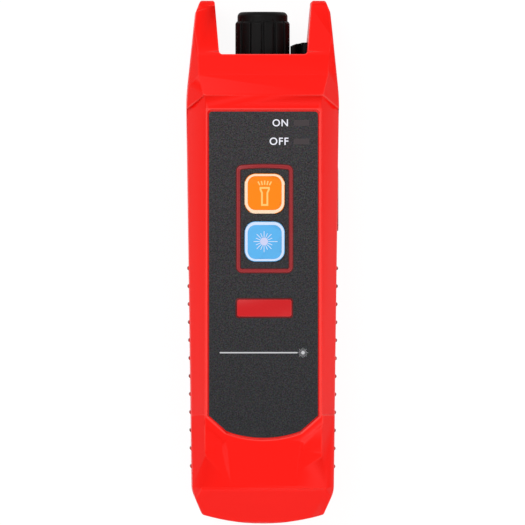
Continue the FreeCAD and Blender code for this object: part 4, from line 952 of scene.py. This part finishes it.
# %% Rays over the torch
TORCH_RAYS = 5
BAR_WIDTH = 0.45
BAR_LENGTH = 1.4
LEAN = 14
RAY_SPACING = 0.95
RAY_ABOVE = 3.65
RAY_DROP = 0.12

bar = slab(plate("torch_ray", 0, 0, BAR_WIDTH, BAR_LENGTH, level=KEY_TOP), PRINT_HEIGHT)
rays = []
for number in range(TORCH_RAYS):
    out = number - TORCH_RAYS // 2
    ray_y = torch_y + RAY_ABOVE - RAY_DROP * abs(out)
    rays.append(turned_copy(bar, -math.radians(LEAN * out), torch_x + RAY_SPACING * out, ray_y))
bpy.data.objects.remove(bar)
ride(joined([hand_torch, *rays], "torch_symbol"), "torch_button", amber_print)

# %% [markdown]
# The lower key fires the laser, so it carries a burst of light: a disc with
# sixteen rays, each a fine straight bar. A ray is made along X, once for
# each length that occurs, and copied round the middle.

# %% Burst of light, used on the key and on the face
BURST_RAYS = 16
SHORT_RAY = 0.84
RAY_GAP = 0.12


def burst(name, x, y, core, reach, width, level, height, long_ray=None):
    """A disc with rays round it; one ray to the right can be longer."""
    bpy.ops.object.select_all(action="DESELECT")
    bpy.ops.mesh.primitive_circle_add(vertices=24, radius=core * MM, fill_type="NGON",
                                      location=(0, 0, level * MM))
    disc = slab(settle(bpy.context.object, name + "_core"), height)
    ends = [reach, reach * SHORT_RAY] * (BURST_RAYS // 2)
    ends[0] = long_ray or reach
    start = core + RAY_GAP
    models = {}
    for end in dict.fromkeys(ends):
        ray = plate(name + "_ray", (start + end) / 2, 0, end - start, width, level=level)
        models[end] = slab(ray, height)
    copies = [turned_copy(models[end], math.tau * turn / BURST_RAYS) for turn, end in enumerate(ends)]
    whole = joined(copies, name)
    for model in models.values():
        bpy.data.objects.remove(model)
    for piece in (whole, disc):
        piece.location = (x * MM, y * MM, 0)
        settle(piece, piece.name)
    print(f"{name}: {BURST_RAYS} rays in {len(models)} lengths")
    return whole, disc


# %% [markdown]
# On the key, the rays are white and the disc lavender, and the ray to the
# right is longer than the others, as the beam that leaves the tool.

# %% Burst on the laser key
BURST_LEFT = 0.2

laser_x, laser_y = key_middle("laser_key")
spark, core = burst("burst_symbol", laser_x - BURST_LEFT, laser_y, core=1.35, reach=3.5, width=0.168,
                    level=KEY_TOP, height=PRINT_HEIGHT, long_ray=4.5)
ride(spark, "laser_button", white_print)
ride(core, "laser_button", lavender_print)

# %% [markdown]
# ## Prints on the face
#
# The two small windows tell whether the laser is on and whether the tool
# will switch itself off. Plain words stand beside them. Text is an object of
# its own kind: it is converted to a mesh before its place is written in.

# %% Words beside the windows
WORD_RIGHT = 8.4
CAP_SHARE = 0.7
LETTER_POINT = 1e-6  # metres
LETTER_SPACE = 1.12
BOLDER = 0.035
INK_HEIGHT = 0.04


def word(name, text, base_y, cap_height):
    """A printed word that ends at the right margin."""
    bpy.ops.object.select_all(action="DESELECT")
    bpy.ops.object.text_add(location=(0, 0, 0))
    piece = bpy.context.object
    piece.data.body = text
    piece.data.align_x = "RIGHT"
    piece.data.size = cap_height * MM / CAP_SHARE
    piece.data.space_character = LETTER_SPACE
    piece.data.offset = BOLDER * MM
    only(piece)
    bpy.ops.object.convert(target="MESH")
    piece = bpy.context.object
    piece.location = (WORD_RIGHT * MM, base_y * MM, FILM_TOP * MM)
    settle(piece, name)
    with editing(piece):
        bpy.ops.mesh.remove_doubles(threshold=LETTER_POINT)
    return ride(slab(piece, INK_HEIGHT), "housing", white_print)


word("word_on", "ON", 45.4, 2.3)
word("word_off", "OFF", 39.2, 2.4)

# %% [markdown]
# Below the keys sits a plain red badge. It is a domed label, thicker than
# any print, on a slightly larger dark border, so two slabs with softened
# edges are laid over each other.

# %% A plain red badge
BADGE_X = 0.3
BADGE_Y = -15.3
BADGE_WIDTH = 18.2
BADGE_LENGTH = 5.7
BORDER = 0.5

badge_red = finish("badge_red", (0.58, 0.012, 0.015), 0.32, wear_and_highlight_color=(0.95, 0.3, 0.3), amount=0.5)
dark_red = finish("dark_red_ink", (0.11, 0.003, 0.004), 0.4, wear_and_highlight_color=(0.3, 0.05, 0.05), amount=0.2)
border_size = (BADGE_WIDTH + 2 * BORDER, BADGE_LENGTH + 2 * BORDER)
border = slab(plate("badge_border", BADGE_X, BADGE_Y, *border_size, corner=1.0), 0.12, 0.05)
ride(border, "housing", dark_red)
badge = slab(plate("badge", BADGE_X, BADGE_Y, BADGE_WIDTH, BADGE_LENGTH, corner=0.8), 0.34, 0.18)
ride(badge, "housing", badge_red)

# %% [markdown]
# Under the badge a thin grey line stands for a fibre, with light breaking
# out at its end. The line is one more plate, and the light is the burst that
# the key has, only smaller. The three are joined, because they are one print.

# %% A line of light along a fibre
FIBRE_X = -1.6
FIBRE_Y = -30.2
FIBRE_LENGTH = 26.0
FIBRE_WIDTH = 0.45
FLARE_X = 13.2

grey_print = finish("grey_print", (0.55, 0.55, 0.57), amount=0.1)
fibre = slab(plate("fibre_line", FIBRE_X, FIBRE_Y, FIBRE_LENGTH, FIBRE_WIDTH, corner=0.2), INK_HEIGHT)
flare, point = burst("fibre_flare", FLARE_X, FIBRE_Y, core=0.6, reach=1.7, width=0.078,
                     level=FILM_TOP, height=INK_HEIGHT)
ride(joined([fibre, flare, point], "fibre_mark"), "housing", grey_print)

# %% [markdown]
# ## Windows and the parts behind them
#
# The light guides are smoked acrylic, so they look dark grey until their
# lamps are lit. The nose panel and the chips are matt black plastic, the cap
# and the seal black rubber, whose tiny pores give it a stronger grain.

# %% Plastics, rubber and the board
smoked = finish("smoked_acrylic", (0.045, 0.034, 0.037), 0.22, amount=0.05, grain_strength=0.03, shine=0.3)
black_plastic = finish("black_plastic", (0.018, 0.018, 0.019), 0.42, wear_and_highlight_color=(0.12, 0.12, 0.12), amount=0.4)
rubber = finish("black_rubber", (0.0035, 0.0032, 0.0032), 0.5, wear_and_highlight_color=(0.05, 0.048, 0.048), amount=0.5,
                grain_scale=2600, grain_strength=0.25, shine=0.08)
board_ink = finish("green_board", (0.012, 0.11, 0.04), 0.4, wear_and_highlight_color=(0.5, 0.4, 0.15), amount=0.5,
                   grain_strength=0.1)
led_resin = finish("led_resin", (0.85, 0.83, 0.76), 0.35, amount=0.05, grain_strength=0.03)

# %% [markdown]
# The port, the screws, the springs and the laser's barrel are bare metal.
# Metal, ceramic and glass are shinier than plastic, so they keep the
# Principled BSDF's own specular level.

# %% Metals, ceramic and glass
FULL_SHINE = 0.5


def metal(name, color, roughness, wear_and_highlight_color, grain_strength=0.08):
    """A bare metal with a faint grain."""
    return finish(name, color, roughness, wear_and_highlight_color=wear_and_highlight_color, grain_strength=grain_strength, shine=FULL_SHINE,
                  also={"Metallic": 1.0})


steel = metal("turned_steel", (0.62, 0.62, 0.63), 0.28, (0.85, 0.85, 0.86))
nickel = metal("nickel_plate", (0.72, 0.69, 0.64), 0.24, (0.9, 0.88, 0.85), 0.06)
brass = metal("yellow_brass", (0.78, 0.55, 0.24), 0.3, (0.95, 0.8, 0.5))
ceramic = finish("white_ceramic", (0.88, 0.87, 0.84), 0.2, amount=0.05, grain_strength=0.02, shine=FULL_SHINE)
clear = finish("clear_lens", (0.93, 0.95, 0.96), 0.06, amount=0.0, grain_strength=0.0, shine=FULL_SHINE,
               also={"Transmission Weight": 0.85, "IOR": 1.5})

# %% [markdown]
# The measured parts come with a plain material for each kind of surface, and
# its name says which. A table from those names to the finishes dresses them
# all, with no list of parts to keep.

# %% Dress the measured parts
BY_SLOT = {
    "light_guide": smoked,
    "dark_plastic": black_plastic,
    "nose_black": black_plastic,
    "black_rubber": rubber,
    "port_metal": nickel,
    "screw_steel": steel,
    "switch_metal": steel,
    "capacitor_can": steel,
    "diode_metal": brass,
    "barrel_brass": brass,
    "white_ceramic": ceramic,
    "board_green": board_ink,
    "led_body": led_resin,
    "led_lens": clear,
    "lens_glass": clear,
    "contact_nickel": nickel,
}
dressed = 0
for node in frame["nodes"].values():
    for slot in node.material_slots:
        if slot.material and slot.material.name in BY_SLOT:
            slot.material = BY_SLOT[slot.material.name]
            dressed += 1
print("slots dressed:", dressed)

# %% [markdown]
# ## The battery cells
#
# A cell is a steel can in a printed sleeve: bare steel at both ends, a
# copper-coloured band at the positive end and black for the rest. The two
# cells face opposite ways, so each gets its own material, with the band
# measured along the tool from its own ends.

# %% Printed sleeves
SLEEVE = (0.012, 0.012, 0.013)
BAND = (0.62, 0.27, 0.1)
BARE_STEEL = (0.6, 0.6, 0.6)
BAND_LENGTH = 13.0
BARE_END = 0.9


def sleeve(name, low, high, positive_high):
    """The sleeve of one cell that reaches from low to high along the tool."""

    def colors(tree):
        y = coordinates(tree)["Y"]
        ends = (high, y) if positive_high else (y, low)
        in_band = math_node(tree, "LESS_THAN", math_node(tree, "SUBTRACT", *ends), BAND_LENGTH)
        from_middle = math_node(tree, "ABSOLUTE", math_node(tree, "SUBTRACT", y, (low + high) / 2))
        bare = math_node(tree, "GREATER_THAN", from_middle, (high - low) / 2 - BARE_END)
        return mix_color(tree, bare, mix_color(tree, in_band, SLEEVE, BAND), BARE_STEEL)

    return recolor(finish(name, SLEEVE, 0.3, wear_and_highlight_color=(0.4, 0.4, 0.4), amount=0.2, grain_strength=0.02), colors)


for side, positive_high in (("left", True), ("right", False)):
    cell = "battery_cell_" + side
    low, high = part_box(cell)
    wrapped = sleeve("cell_sleeve_" + side, low[1] / MM, high[1] / MM, positive_high)
    frame["nodes"][cell].material_slots[0].material = wrapped

# %% [markdown]
# ## The rubber cap and its tether
#
# The cap pushes over the port and keeps dust out. It is one rubber moulding
# with broad ribs for grip, so a rounded copy of the measured cap is enough.

# %% Cap
rounded_copy("dust_cap", "port_cap", (0.22,), rubber, "cap", degrees=20)

# %% [markdown]
# The tether is a separate ring in the cap's neck with a band to the housing.
# Only corners can move, so the band is first sliced into narrow strips, and
# each slice moves a little further than the last.

# %% Tether
TETHER_EDGE = 0.18
BAND_SLICES = 20

TETHER_Y = 0.068
PORT_Z = 0.016
BAND_ROOT = 0.0149
BAND_RING = 0.010


def slice_across(piece, low, high, steps):
    """Cut a piece's faces at even steps along X, so that it stretches evenly between them."""
    with editing(piece):
        for step in range(steps + 1):
            bpy.ops.mesh.select_all(action="SELECT")
            bpy.ops.mesh.bisect(plane_co=(low + (high - low) * step / steps, 0, 0), plane_no=(1, 0, 0))
    print(f"{piece.name}: {len(piece.data.polygons)} faces once sliced")
    return smooth(piece)


tether = rounded_copy("cap_tether", "rubber_tether", (TETHER_EDGE,), rubber, None)
slice_across(tether, BAND_RING, BAND_ROOT, BAND_SLICES)
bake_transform(tether, "housing", "cap", start=(BAND_ROOT, TETHER_Y, PORT_Z), end=(BAND_RING, TETHER_Y, PORT_Z))

# %% [markdown]
# ## The stage
#
# The background is white because the floor itself glows for rays that come
# straight from the camera, a mirror or glass, and not because more light
# falls on the tool. The rest of the floor is plain matte white, so it still
# keeps the tool's soft shadow and throws light back under it.

# %% Floor
GLOW = 0.9
FLOOR_WHITE = 1.04
FLOOR_SIZE = 30  # metres
FLOOR_DROP = 0.1


def seen_directly(tree):
    """One for rays from the camera, a mirror or glass; nought for light on other things."""
    path = add(tree, "LightPath").outputs
    seen = math_node(tree, "MAXIMUM", path["Is Camera Ray"], path["Is Glossy Ray"])
    return math_node(tree, "MAXIMUM", seen, path["Is Transmission Ray"])


bpy.ops.object.select_all(action="DESELECT")
bpy.ops.mesh.primitive_plane_add(size=FLOOR_SIZE, location=(0, 0, -FLOOR_DROP * MM))
floor = settle(bpy.context.object, "floor")
floor_white = bpy.data.materials.new("white_floor")
floor_white.use_nodes = True
tree = floor_white.node_tree
surface = tree.nodes["Principled BSDF"]
surface.inputs["Base Color"].default_value = (0.9, 0.9, 0.9, 1)
surface.inputs["Roughness"].default_value = 0.95
surface.inputs["Specular IOR Level"].default_value = 0.0
glow = add(tree, "Emission", {"Strength": FLOOR_WHITE})
share = math_node(tree, "MULTIPLY", seen_directly(tree), GLOW)
mixed = add(tree, "MixShader", {0: share, 1: surface.outputs[0], 2: glow.outputs[0]})
tree.links.new(mixed.outputs[0], tree.nodes["Material Output"].inputs["Surface"])
floor.data.materials.append(floor_white)
print("floor:", FLOOR_SIZE, "m wide")

# %% [markdown]
# The world is white in the same way: full white where it is seen, and half
# as strong where it lights the tool, so that the lamps can still draw the
# forms with a lighter and a darker side.

# %% World
WORLD_LIGHT = 0.5

world = bpy.data.worlds.new("studio")
bpy.context.scene.world = world
world.use_nodes = True
tree = world.node_tree
sky = tree.nodes["Background"].inputs
strength = math_node(tree, "MULTIPLY_ADD", seen_directly(tree), 1.0 - WORLD_LIGHT, WORLD_LIGHT)
tree.links.new(strength, sky["Strength"])
sky["Color"].default_value = (1, 1, 1, 1)
print("world: light", WORLD_LIGHT)

# %% [markdown]
# Three large, soft lamps stand high round the tool, as in a product studio.
# The key light is the strongest and comes from the upper left, the fill
# light opens the shadows on the right, and the end light catches the heel.

# %% Lamps
LAMP_AIM = (0, 0, 0.02)  # metres, as are the lamps' places and sizes


def lamp(name, place, size, power):
    """A soft square lamp that faces the tool and isn't seen itself."""
    data = bpy.data.lights.new(name, "AREA")
    data.size = size
    data.energy = power
    light = bpy.data.objects.new(name, data)
    light.location = place
    light.rotation_euler = (Vector(LAMP_AIM) - Vector(place)).to_track_quat("-Z", "Y").to_euler()
    light.visible_camera = False
    bpy.context.scene.collection.objects.link(light)
    print(f"{name}: {size} m wide, {power} W")


lamp("key_light", (-0.7, 0.7, 1.5), 0.9, 13.5)
lamp("fill_light", (0.9, -0.4, 1.2), 1.0, 6)
lamp("end_light", (0.1, -1.3, 0.7), 0.8, 3)
bpy.context.scene.view_settings.view_transform = "Standard"
